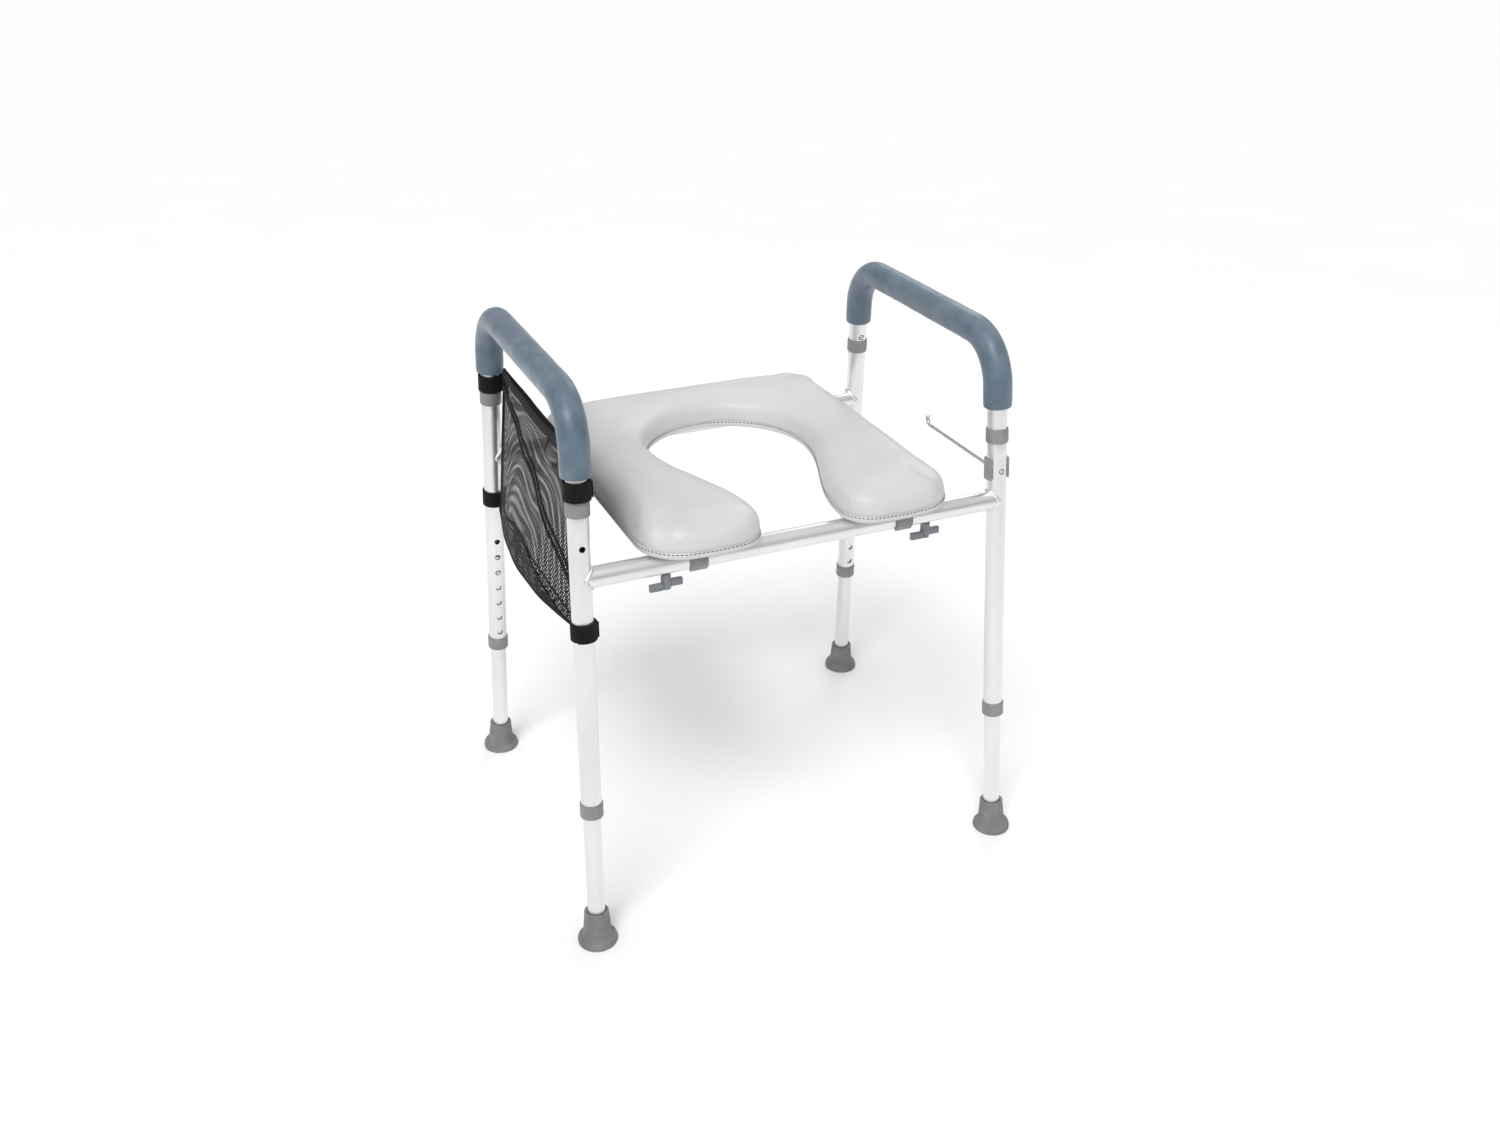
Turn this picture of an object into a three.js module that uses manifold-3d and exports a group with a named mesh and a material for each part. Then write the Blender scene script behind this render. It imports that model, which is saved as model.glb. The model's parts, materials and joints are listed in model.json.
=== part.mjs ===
// Toilet safety frame: two welded H-frames tied together by two U-shaped arms and a padded seat.
// Millimetres, +Z up, the seat's open front towards -Y. "Left" is -X, the left of someone facing the front.
// Origin: on the floor, midway between the four posts.

import * as THREE from "three";
import { mergeVertices } from "three/addons/utils/BufferGeometryUtils.js";
import Module from "manifold-3d";

const wasm = await Module();
wasm.setup();

// ---------- driving dimensions ----------
const FIT_GAP = 0.3; // clearance between pieces that touch
const SIDES = 12; // facets round a tube

// the welded H-frames
const TUBE_OD = 25.4;
const TUBE_WALL = 1.25;
const POST_SPACING_X = 556; // between post axes, at the crossbars' height
const POST_SPACING_Y = 393;
const BAR_HEIGHT = 497; // crossbar axis above the floor
const LEAN_X = 0.0308; // sideways run per unit of height
const LEAN_Y = 0.0793; // fore-and-aft run per unit of height
const WELD_R = 2.2; // weld bead
const WELD_SPREAD = 1.05; // carries the bead just outside the line where the two tubes meet

// heights below are measured along a post, from the crossbar's axis
const POST_TOP = 126;
const SWAGE_FROM = 73; // the post is narrowed above here, to enter the arm
const SWAGE_TO = 81;
const POST_BOTTOM = -311;
const CROSS_HOLE_AT = 41;
const CROSS_HOLE_D = 7.6;

// telescoping legs
const LEG_OD = 22.2;
const LEG_WALL = 1.2;
const HOLE_PITCH = 25.4;
const HOLE_COUNT = 7;
const TOP_HOLE_AT = -131;
const HOLE_D = 8;
const HOLE_IN_USE = 2; // counted from the top hole, 0
const LEG_END = -488.5;

// collars
const COLLAR_OD = 28.8;
const COLLAR_HEIGHT = 18.7;
const COLLAR_LIP = 3;
const ARM_COLLAR_AT = 78.3;
const LEG_COLLAR_AT = -314.2;

// rubber feet
const FOOT_OD = 51;
const FOOT_RIM_OD = 31;
const FOOT_FLANGE = 8;
const FOOT_TAPER = 3; // how much wider the cone is at the flange than at the rim
const FOOT_FILLET = 5;
const FOOT_HEIGHT = 44;
const FOOT_FLOOR = 8; // rubber under the leg's end

// arms
const ARM_END = ARM_COLLAR_AT + COLLAR_LIP + FIT_GAP;
const ARM_RISE = 207; // height of the arm's level run above the crossbar
const ARM_BEND_R = 62;
const ARM_BUTTON_AT = 102.4;
const GRIP_OD = 36.4;
const GRIP_FROM = 123.4;

// snap buttons
const BUTTON_D = 6;
const BUTTON_PROUD = 1.5;
const LEAF_WIDTH = 8;
const LEAF_THICK = 0.8;
const LEAF_LENGTH = 45; // from the button down to the riveted root
const LEAF_OUT = 8.5; // the leaf's outer face, from the tube's axis

// seat
const SEAT_HALF_WIDTH = 205;
const SEAT_FRONT = -232;
const SEAT_REAR = 224;
const SEAT_REAR_R = 45;
const HORN_OUTER_R = 58;
const HORN_INNER_R = 40;
const BOWL_R = 108; // rear half of the commode opening
const BOWL_CENTRE = 28;
const MOUTH_HALF = 54; // half the opening between the two horns
const MOUTH_FROM = -190;
const NECK_REACH = 79; // how far the curves from bowl to mouth keep their first direction
const CUSHION_HEIGHT = 40;
const CUSHION_ROUND = 17;
const BOARD_THICK = 12;
const BOARD_INSET = 11;

// seat fixings
const HOOK_X = 137;
const HOOK_WIDTH = 22;
const HOOK_THICK = 3;
const HOOK_REACH = 34; // flat leaf under the board, inboard of the crossbar's axis
const HOOK_SCREW_D = 4;
const HOOK_SCREW_Y = 24; // from the crossbar's axis towards the middle
const HOOK_SCREW_HEAD = { diameter: 8, height: 2.4 };
const HOOK_SCREW_GRIP = 12;
const STUD_X = 174.6;
const STUD_D = 6;
const STUD_HOLE_D = 7;
const STUD_HEAD = { diameter: 14, height: 2.5 };
const STUD_END = 466; // height of the stud's lower end
const NUT_HUB_D = 12;
const NUT_HEIGHT = 20;
const WING_SPAN = 44;
const WING_HEIGHT = 9.5;
const WING_THICK = 6;

// side bag
const BAG_TOP = 131; // along the post, as the straps are
const BAG_BOTTOM = -75;
const BAG_SAG = 8;
const BAG_DIP = 14.5; // how far the mouth's outer edge dips
const BAG_BACK = 8; // inboard of the posts' plane
const BAG_BULGE = 18; // outboard of the posts' plane
const BAG_WALL = 2;
const BAG_EDGE = 6; // thickness where the two panels meet
const BAG_POST_GAP = 6.5;
const STRAP_WIDTH = 22;
const STRAP_OD = 34;
const TOP_STRAP_AT = 108.5;
const LOW_STRAP_AT = -64;
const TOP_STRAP_ID = 29.6; // slack enough to pass over the snap button
const LOW_STRAP_ID = 26.6;

// paper holder
const CLIP_AT = 43;
const CLIP_HEIGHT = 27;
const CLIP_THICK = 3;
const CLIP_MOUTH = THREE.MathUtils.degToRad(110);
const ROD_D = 6;
const ROD_REACH = 150; // behind the post
const ROD_TIP_RISE = 12;
const ROD_BEND_R = 8;

// ---------- materials ----------
const material = (color, roughness, metalness = 0) =>
  new THREE.MeshStandardMaterial({ color, roughness, metalness });

const satinAluminium = material(0xd9dbde, 0.42, 0.9);
const steel = material(0xb9bcc0, 0.25, 1);
const foam = material(0x65798a, 0.85);
const greyPlastic = material(0x838383, 0.55);
const darkPlastic = material(0x6f747b, 0.5);
const greyRubber = material(0x808183, 0.75);
const vinyl = material(0xcfcfcf, 0.5);
const plywood = material(0xb79a6e, 0.8);
const blackWeb = material(0x1a1a1b, 0.95);

// ---------- solids ----------
// A three.js geometry as a closed solid that can be joined and cut.
function solid(geometry) {
  const bare = geometry.clone();
  bare.deleteAttribute("normal");
  bare.deleteAttribute("uv");
  const merged = mergeVertices(bare, 1e-4);
  return new wasm.Manifold(
    new wasm.Mesh({
      numProp: 3,
      vertProperties: merged.attributes.position.array,
      triVerts: new Uint32Array(merged.index.array),
    }),
  );
}

// A cut or joined solid as a three.js geometry again.
function geometryOf(shape) {
  const mesh = shape.getMesh();
  const geometry = new THREE.BufferGeometry();
  geometry.setAttribute("position", new THREE.BufferAttribute(mesh.vertProperties, 3));
  geometry.setIndex(new THREE.BufferAttribute(mesh.triVerts, 1));
  geometry.computeVertexNormals();
  return geometry;
}

const cut = (from, ...tools) => tools.reduce((rest, tool) => rest.subtract(solid(tool)), from);
const join = (...geometries) => geometries.map(solid).reduce((all, next) => all.add(next));

// A solid of revolution about +Z from [radius, height] pairs.
function turned(pairs, sides = SIDES) {
  const profile = pairs.map(([r, z]) => new THREE.Vector2(r, z));
  return new THREE.LatheGeometry(profile, sides).rotateX(Math.PI / 2);
}

// The same for a hollow piece, whose profile closes on itself.
const turnedRing = (pairs, sides = SIDES) => turned([...pairs, pairs[0]], sides);

// A plain tube or rod standing on +Z, from one height to another.
function pipe(od, id, from, to, sides = SIDES) {
  return turnedRing(
    [
      [id / 2, from],
      [od / 2, from],
      [od / 2, to],
      [id / 2, to],
    ],
    sides,
  );
}

function rod(diameter, from, to, sides = SIDES) {
  return turned(
    [
      [0, from],
      [diameter / 2, from],
      [diameter / 2, to],
      [0, to],
    ],
    sides,
  );
}

// A drill at a height through a tube's wall on its -Y side, on its +Y side (wall 1) or on both (wall 0).
function drill(diameter, at, wall = -1) {
  const tool = new THREE.CylinderGeometry(diameter / 2, diameter / 2, TUBE_OD, 8);
  return tool.scale(1, wall ? 1 : 2, 1).translate(0, (wall * TUBE_OD) / 2, at);
}

// Turns a profile drawn flat and extruded upwards into one drawn in the YZ plane and extruded along +X.
const ALONG_X = new THREE.Matrix4().makeBasis(
  new THREE.Vector3(0, 1, 0),
  new THREE.Vector3(0, 0, 1),
  new THREE.Vector3(1, 0, 0),
);

// An outline as a slab of a given depth, from z = 0 up.
const slab = (outline, depth, curveSegments = 10) =>
  new THREE.ExtrudeGeometry(outline, { depth, bevelEnabled: false, curveSegments });

function box(x0, x1, y0, y1, z0, z1) {
  const size = [x1 - x0, y1 - y0, z1 - z0];
  return new THREE.BoxGeometry(...size).translate((x0 + x1) / 2, (y0 + y1) / 2, (z0 + z1) / 2);
}

function mesh(name, shape, look, parent) {
  const geometry = shape.isBufferGeometry ? shape : geometryOf(shape);
  const piece = new THREE.Mesh(geometry, look);
  piece.name = name;
  parent.add(piece);
  return piece;
}

// ---------- the four leaning corners ----------
// Each side's group leans towards the middle; in it each corner's group leans fore and aft.
// In a corner +Z runs up the post and -Y faces the frame's middle.
const frame = new THREE.Group();
const sideLean = Math.atan(LEAN_X);
const cornerLean = Math.atan(LEAN_Y * Math.cos(sideLean));

function sideGroup(sign) {
  const group = new THREE.Group();
  group.position.set((sign * POST_SPACING_X) / 2, 0, BAR_HEIGHT);
  group.rotation.y = -sign * sideLean;
  frame.add(group);
  return group;
}

function cornerGroup(side, front) {
  const group = new THREE.Group();
  group.position.y = ((front ? -1 : 1) * POST_SPACING_Y) / 2;
  group.rotation.set(front ? -cornerLean : cornerLean, 0, front ? Math.PI : 0);
  side.add(group);
  return group;
}

const sides = { left: sideGroup(-1), right: sideGroup(1) };
const corners = {};
for (const [side, group] of Object.entries(sides)) {
  corners["front_" + side] = cornerGroup(group, true);
  corners["rear_" + side] = cornerGroup(group, false);
}
frame.updateMatrixWorld(true);

// ---------- posts, legs, feet and collars ----------
const boreR = TUBE_OD / 2 - TUBE_WALL;
const swageR = LEG_OD / 2;
const holeHeights = Array.from({ length: HOLE_COUNT }, (_, i) => TOP_HOLE_AT - i * HOLE_PITCH);
const legButtonAt = holeHeights[HOLE_IN_USE];

// The cross hole is in the outer wall only, except on the post that carries the paper rod.
function post(place) {
  const swageBore = swageR - TUBE_WALL;
  const tube = turnedRing([
    [boreR, POST_BOTTOM],
    [TUBE_OD / 2, POST_BOTTOM],
    [TUBE_OD / 2, SWAGE_FROM],
    [swageR, SWAGE_TO],
    [swageR, POST_TOP],
    [swageBore, POST_TOP],
    [swageBore, SWAGE_TO],
    [boreR, SWAGE_FROM],
  ]);
  const holes = holeHeights.map((at) => drill(HOLE_D, at));
  return cut(
    solid(tube),
    ...holes,
    drill(HOLE_D, ARM_BUTTON_AT),
    drill(CROSS_HOLE_D, CROSS_HOLE_AT, place === "front_right" ? 0 : 1),
  );
}

function leg() {
  const top = legButtonAt + HOLE_PITCH;
  return cut(solid(pipe(LEG_OD, LEG_OD - 2 * LEG_WALL, LEG_END, top)), drill(HOLE_D, legButtonAt));
}

// A stepped rubber tip round the leg's end, its sole cut level with the floor.
function foot(corner) {
  const sole = -BAR_HEIGHT / Math.cos(cornerLean) / Math.cos(sideLean);
  const boreRadius = LEG_OD / 2 + FIT_GAP;
  const neck = FOOT_RIM_OD / 2;
  const low = sole - 4; // below the floor, before the level cut
  const flangeTop = sole + FOOT_FLANGE;
  const body = turned([
    [0, low],
    [FOOT_OD / 2, low],
    [FOOT_OD / 2, flangeTop - 1.5],
    [FOOT_OD / 2 - 1.5, flangeTop],
    [neck + FOOT_TAPER + 0.4 * FOOT_FILLET, flangeTop + 0.2 * FOOT_FILLET],
    [neck + FOOT_TAPER, flangeTop + FOOT_FILLET],
    [neck, sole + FOOT_HEIGHT],
    [boreRadius, sole + FOOT_HEIGHT],
    [boreRadius, sole + FOOT_FLOOR],
    [0, sole + FOOT_FLOOR],
  ]);
  const floor = box(-600, 600, -600, 600, -60, 0).applyMatrix4(corner.matrixWorld.clone().invert());
  return cut(solid(body), floor);
}

// A bush that closes a tube's end: it grips the outer tube and guides the inner one through its lip.
function collar(at, lipRadius) {
  const outer = COLLAR_OD / 2;
  const grip = TUBE_OD / 2 + FIT_GAP;
  return turnedRing([
    [lipRadius, at],
    [outer - 1, at],
    [outer, at + 1],
    [outer, at + COLLAR_HEIGHT - 1],
    [outer - 1, at + COLLAR_HEIGHT],
    [grip, at + COLLAR_HEIGHT],
    [grip, at + COLLAR_LIP],
    [lipRadius, at + COLLAR_LIP],
  ]);
}

// A domed button on a flat spring leaf, at a height in its tube; the leaf's root is LEAF_LENGTH below.
function snapButton(at) {
  const tip = TUBE_OD / 2 + BUTTON_PROUD;
  const r = BUTTON_D / 2;
  const button = turned(
    [
      [0, LEAF_OUT - LEAF_THICK / 2],
      [r, LEAF_OUT - LEAF_THICK / 2],
      [r, tip - 1.2],
      [r * 0.7, tip - 0.3],
      [0, tip],
    ],
    12,
  )
    .rotateX(Math.PI / 2)
    .translate(0, 0, at);
  const half = LEAF_WIDTH / 2;
  const leaf = box(-half, half, -LEAF_OUT, LEAF_THICK - LEAF_OUT, at - LEAF_LENGTH, at + 6);
  return join(button, leaf);
}

for (const [place, corner] of Object.entries(corners)) {
  mesh(place + "_post", post(place), satinAluminium, corner);
  mesh(place + "_leg_tube", leg(), satinAluminium, corner);
  mesh(place + "_foot", foot(corner), greyRubber, corner);
  mesh(place + "_leg_collar", collar(LEG_COLLAR_AT, LEG_OD / 2 + FIT_GAP), greyPlastic, corner);
  mesh(place + "_arm_collar", collar(ARM_COLLAR_AT, TUBE_OD / 2 - 0.5), greyPlastic, corner);
  mesh(place + "_leg_button", snapButton(legButtonAt), steel, corner);
  mesh(place + "_arm_button", snapButton(ARM_BUTTON_AT), steel, corner);
}

// ---------- tubes bent along a path ----------
// A path that spends its steps on the bends: three.js asks for evenly spaced points, and gets these.
class BentPath extends THREE.Curve {
  constructor(points, tangents) {
    super();
    Object.assign(this, { points, tangents });
  }
  pick(list, u) {
    return list[Math.round(u * (list.length - 1))].clone();
  }
  getPoint(t) {
    return this.pick(this.points, t);
  }
  getPointAt(u) {
    return this.pick(this.points, u);
  }
  getTangentAt(u) {
    return this.pick(this.tangents, u);
  }
}

// Straight runs between the given turning points, with a bend of one radius at each.
function bentPath(turns, radius, bendSteps = 5) {
  const directions = turns.slice(1).map((p, i) => p.clone().sub(turns[i]).normalize());
  const points = [turns[0]];
  const tangents = [directions[0]];
  for (let i = 1; i < turns.length - 1; i++) {
    const [before, after] = [directions[i - 1], directions[i]];
    const turn = before.angleTo(after);
    const normal = after.clone().addScaledVector(before, -Math.cos(turn)).normalize();
    const start = turns[i].clone().addScaledVector(before, -radius * Math.tan(turn / 2));
    const centre = start.addScaledVector(normal, radius);
    for (let step = 0; step <= bendSteps; step++) {
      const a = (turn * step) / bendSteps;
      const point = centre.clone().addScaledVector(normal, -radius * Math.cos(a));
      points.push(point.addScaledVector(before, radius * Math.sin(a)));
      tangents.push(before.clone().multiplyScalar(Math.cos(a)).addScaledVector(normal, Math.sin(a)));
    }
  }
  points.push(turns[turns.length - 1]);
  tangents.push(directions[directions.length - 1]);
  return new BentPath(points, tangents);
}

function bentTube(path, od, id = 0, halfSides = SIDES / 2) {
  const section = new THREE.Shape().absarc(0, 0, od / 2, 0, 2 * Math.PI);
  if (id) section.holes.push(new THREE.Path().absarc(0, 0, id / 2, 0, 2 * Math.PI));
  const steps = path.points.length - 1;
  return new THREE.ExtrudeGeometry(section, { extrudePath: path, steps, curveSegments: halfSides });
}

// Moves a geometry from one group's frame into another's.
function carry(geometry, from, to) {
  const matrix = to.matrixWorld.clone().invert().multiply(from.matrixWorld);
  return geometry.applyMatrix4(matrix);
}

// ---------- arms and their foam grips ----------
// A U in a side's plane, its legs on the two posts' axes, from a height along the posts.
function armPath(from) {
  const alongPost = (sign, s) =>
    new THREE.Vector3(
      0,
      sign * (POST_SPACING_Y / 2 - Math.sin(cornerLean) * s),
      Math.cos(cornerLean) * s,
    );
  const elbow = ARM_RISE / Math.cos(cornerLean);
  const turns = [alongPost(-1, from), alongPost(-1, elbow), alongPost(1, elbow), alongPost(1, from)];
  return bentPath(turns, ARM_BEND_R);
}

function armTube(side, name) {
  const tube = bentTube(armPath(ARM_END), TUBE_OD, TUBE_OD - 2 * TUBE_WALL);
  const holes = ["front_", "rear_"].map((end) =>
    carry(drill(HOLE_D, ARM_BUTTON_AT), corners[end + name], side),
  );
  return cut(solid(tube), ...holes);
}

for (const [name, side] of Object.entries(sides)) {
  mesh(name + "_arm_tube", armTube(side, name), satinAluminium, side);
  mesh(name + "_foam_grip", bentTube(armPath(GRIP_FROM), GRIP_OD, TUBE_OD + 2 * FIT_GAP), foam, side);
}

// ---------- crossbars, coped to the posts and welded ----------
// The closed line where a crossbar meets a post of the same diameter.
class SaddleLine extends THREE.Curve {
  constructor(centre, sign) {
    super();
    Object.assign(this, { centre, sign });
  }
  getPoint(t) {
    const turn = t * 2 * Math.PI;
    const radius = TUBE_OD / 2;
    const depth = radius * Math.sqrt(WELD_SPREAD - Math.sin(turn) ** 2);
    const offset = new THREE.Vector3(-this.sign * depth, radius * Math.sin(turn), radius * Math.cos(turn));
    return offset.add(this.centre);
  }
}

function crossbar(front) {
  const y = ((front ? -1 : 1) * POST_SPACING_Y) / 2;
  const half = POST_SPACING_X / 2;
  const bar = pipe(TUBE_OD, TUBE_OD - 2 * TUBE_WALL, -half, half).rotateY(Math.PI / 2);
  const beads = [-1, 1].map((sign) => {
    const line = new SaddleLine(new THREE.Vector3(sign * half, y, BAR_HEIGHT), sign);
    return new THREE.TubeGeometry(line, 16, WELD_R, 5, true);
  });
  const bore = rod(TUBE_OD - 2 * TUBE_WALL, -half, half).rotateY(Math.PI / 2);
  const posts = ["left", "right"].map((side) => {
    const corner = corners[(front ? "front_" : "rear_") + side];
    return rod(TUBE_OD + 2 * FIT_GAP, -60, 60).applyMatrix4(corner.matrixWorld);
  });
  const studHoles = [-STUD_X, STUD_X].map((x) =>
    rod(STUD_HOLE_D, -TUBE_OD, TUBE_OD, 12).translate(x, y, BAR_HEIGHT),
  );
  const welded = join(bar.translate(0, y, BAR_HEIGHT), ...beads);
  return cut(welded, bore.translate(0, y, BAR_HEIGHT), ...posts, ...studHoles);
}

mesh("front_crossbar", crossbar(true), satinAluminium, frame);
mesh("rear_crossbar", crossbar(false), satinAluminium, frame);

// ---------- seat ----------
const BAR_TOP = BAR_HEIGHT + TUBE_OD / 2;
const BOARD_UNDER = BAR_TOP + HOOK_THICK + 2 * FIT_GAP;
const BOARD_TOP = BOARD_UNDER + BOARD_THICK;

// The seat's outline, drawn in by an inset: a rounded slab with a keyhole opening to the front.
function seatOutline(inset) {
  const half = SEAT_HALF_WIDTH - inset;
  const front = SEAT_FRONT + inset;
  const rear = SEAT_REAR - inset;
  const mouth = MOUTH_HALF + inset;
  const bowl = BOWL_R + inset;
  const rearR = SEAT_REAR_R - inset;
  const outerR = HORN_OUTER_R - inset;
  const innerR = HORN_INNER_R - inset;
  const quarter = Math.PI / 2;
  return new THREE.Shape()
    .moveTo(mouth + innerR, front)
    .lineTo(half - outerR, front)
    .absarc(half - outerR, front + outerR, outerR, -quarter, 0)
    .absarc(half - rearR, rear - rearR, rearR, 0, quarter)
    .absarc(rearR - half, rear - rearR, rearR, quarter, 2 * quarter)
    .absarc(outerR - half, front + outerR, outerR, 2 * quarter, 3 * quarter)
    .lineTo(-mouth - innerR, front)
    .absarc(-mouth - innerR, front + innerR, innerR, -quarter, 0)
    .lineTo(-mouth, MOUTH_FROM)
    .bezierCurveTo(-mouth, MOUTH_FROM + NECK_REACH, -bowl, BOWL_CENTRE - NECK_REACH, -bowl, BOWL_CENTRE)
    .absarc(0, BOWL_CENTRE, bowl, 2 * quarter, 0, true)
    .bezierCurveTo(bowl, BOWL_CENTRE - NECK_REACH, mouth, MOUTH_FROM + NECK_REACH, mouth, MOUTH_FROM)
    .lineTo(mouth, front + innerR)
    .absarc(mouth + innerR, front + innerR, innerR, 2 * quarter, 3 * quarter);
}

// A flat slab of the seat's outline, from one height to another.
function seatSlab(inset, from, to) {
  return slab(seatOutline(inset), to - from, 6).translate(0, 0, from);
}

function cushion() {
  const round = CUSHION_ROUND;
  const options = {
    depth: CUSHION_HEIGHT - round,
    bevelThickness: round,
    bevelSize: round,
    bevelOffset: -round,
    bevelSegments: 2,
    curveSegments: 6,
  };
  const body = new THREE.ExtrudeGeometry(seatOutline(0), options).translate(0, 0, BOARD_UNDER);
  const below = box(-300, 300, -300, 300, BOARD_UNDER - 2 * round, BOARD_UNDER);
  const pocket = seatSlab(BOARD_INSET - FIT_GAP, BOARD_UNDER - 1, BOARD_TOP + FIT_GAP);
  return cut(solid(body), below, pocket);
}

const placeNames = ["front_left", "front_right", "rear_left", "rear_right"];

// The four places at a distance from the middle where something holds the seat to a crossbar:
// x, the crossbar's y, and the direction towards the seat's middle.
function fixings(x) {
  const y = POST_SPACING_Y / 2;
  return [
    [-x, -y, 1],
    [x, -y, 1],
    [-x, y, -1],
    [x, y, -1],
  ];
}

function board() {
  const panel = solid(seatSlab(BOARD_INSET, BOARD_UNDER, BOARD_TOP));
  const holes = [];
  for (const [x, y] of fixings(STUD_X)) {
    const sink = BOARD_TOP - STUD_HEAD.height - FIT_GAP;
    holes.push(rod(STUD_D + 2 * FIT_GAP, BOARD_UNDER - 1, BOARD_TOP + 1, 12).translate(x, y, 0));
    holes.push(rod(STUD_HEAD.diameter + 2 * FIT_GAP, sink, BOARD_TOP + 1, 12).translate(x, y, 0));
  }
  for (const [x, y, inward] of fixings(HOOK_X)) {
    const hole = rod(HOOK_SCREW_D + 2 * FIT_GAP, BOARD_UNDER - 1, BOARD_TOP + 1, 10);
    holes.push(hole.translate(x, y + inward * HOOK_SCREW_Y, 0));
  }
  return cut(panel, ...holes);
}

mesh("seat_cushion", cushion(), vinyl, frame);
mesh("seat_base_board", board(), plywood, frame);

// ---------- hooks, studs and wing nuts that hold the seat down ----------
// A strap of plastic that lies on a crossbar and curls over its outer side; drawn for the front bar.
function hook() {
  const inner = TUBE_OD / 2 + FIT_GAP;
  const outer = inner + HOOK_THICK;
  const top = Math.PI / 2;
  const end = THREE.MathUtils.degToRad(235);
  const profile = new THREE.Shape()
    .moveTo(HOOK_REACH, inner)
    .lineTo(HOOK_REACH, outer)
    .absarc(0, 0, outer, top, end)
    .absarc(0, 0, inner, end, top, true);
  const band = slab(profile, HOOK_WIDTH).translate(0, 0, -HOOK_WIDTH / 2);
  const hole = rod(HOOK_SCREW_D + 2 * FIT_GAP, 0, 2 * outer, 10).translate(0, HOOK_SCREW_Y, 0);
  return cut(solid(band.applyMatrix4(ALONG_X)), hole);
}

function hookScrew() {
  const { diameter, height } = HOOK_SCREW_HEAD;
  const seat = BAR_TOP - FIT_GAP - BAR_HEIGHT;
  return turned(
    [
      [0, seat - height],
      [0.38 * diameter, seat - height],
      [diameter / 2, seat - height / 2],
      [diameter / 2, seat],
      [HOOK_SCREW_D / 2, seat],
      [HOOK_SCREW_D / 2, seat + HOOK_SCREW_GRIP],
      [0, seat + HOOK_SCREW_GRIP],
    ],
    10,
  ).translate(0, HOOK_SCREW_Y, 0);
}

function stud() {
  const top = BOARD_TOP - FIT_GAP - BAR_HEIGHT;
  const end = STUD_END - BAR_HEIGHT;
  return turned(
    [
      [0, end],
      [STUD_D / 2 - 0.8, end],
      [STUD_D / 2, end + 0.8],
      [STUD_D / 2, top - STUD_HEAD.height],
      [STUD_HEAD.diameter / 2, top - STUD_HEAD.height],
      [STUD_HEAD.diameter / 2, top],
      [0, top],
    ],
    12,
  );
}

// A hub with two flat wings set off to opposite sides of its axis.
function wingNut() {
  const top = -TUBE_OD / 2 - 2 * FIT_GAP;
  const low = top - NUT_HEIGHT;
  const bore = STUD_D / 2 + FIT_GAP;
  const hub = turned([
    [0, low],
    [NUT_HUB_D / 2, low],
    [NUT_HUB_D / 2, top],
    [0, top],
  ]);
  const near = bore + 1;
  const wings = [-1, 1].map((sign) => {
    const across = [sign * near, (sign * WING_SPAN) / 2].sort((a, b) => a - b);
    const deep = [0, sign * WING_THICK].sort((a, b) => a - b);
    return box(...across, ...deep, low, low + WING_HEIGHT);
  });
  return cut(join(hub, ...wings), rod(2 * bore, low - 1, top + 1, 12));
}

fixings(HOOK_X).forEach(([x, y, inward], i) => {
  for (const [part, shape, look] of [
    ["_hook", hook(), greyPlastic],
    ["_hook_screw", hookScrew(), steel],
  ]) {
    const piece = mesh(placeNames[i] + part, shape, look, frame);
    piece.position.set(x, y, BAR_HEIGHT);
    piece.rotation.z = inward > 0 ? 0 : Math.PI;
  }
});

fixings(STUD_X).forEach(([x, y], i) => {
  mesh(placeNames[i] + "_stud", stud(), steel, frame).position.set(x, y, BAR_HEIGHT);
  mesh(placeNames[i] + "_wing_nut", wingNut(), darkPlastic, frame).position.set(x, y, BAR_HEIGHT);
});

// ---------- mesh side bag and its straps, on the left side ----------
// The bag's outline in the side's plane, drawn in by an inset; `rise` lifts its top edge.
function bagOutline(inset, rise = 0) {
  const end = (height) =>
    POST_SPACING_Y / 2 - Math.tan(cornerLean) * height - TUBE_OD / 2 - BAG_POST_GAP - inset;
  const low = BAG_BOTTOM + inset;
  const high = BAG_TOP + rise;
  return new THREE.Shape()
    .moveTo(-end(high), high)
    .lineTo(-end(low), low)
    .quadraticCurveTo(0, low - 2 * BAG_SAG, end(low), low)
    .lineTo(end(high), high);
}

// The bag's plan: a straight back panel, and a front panel that bulges outboard between the posts.
function bagPlan(inset) {
  const end = POST_SPACING_Y / 2;
  const back = BAG_BACK - inset;
  const edge = back - BAG_EDGE + 2 * inset;
  const pull = edge - (4 / 3) * (BAG_BACK + BAG_BULGE - BAG_EDGE); // handles that reach the full bulge
  return new THREE.Shape()
    .moveTo(back, -end)
    .lineTo(back, end)
    .lineTo(edge, end)
    .bezierCurveTo(pull, end / 2, pull, -end / 2, edge, -end);
}

function bagBody(inset, rise) {
  const wide = 2 * (BAG_BACK + BAG_BULGE);
  const tall = 2 * (BAG_TOP - BAG_BOTTOM);
  const side = slab(bagOutline(inset, rise), 2 * wide).translate(0, 0, -wide);
  const plan = slab(bagPlan(inset), 2 * tall).translate(0, 0, -tall);
  return solid(side.applyMatrix4(ALONG_X)).intersect(solid(plan));
}

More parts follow.
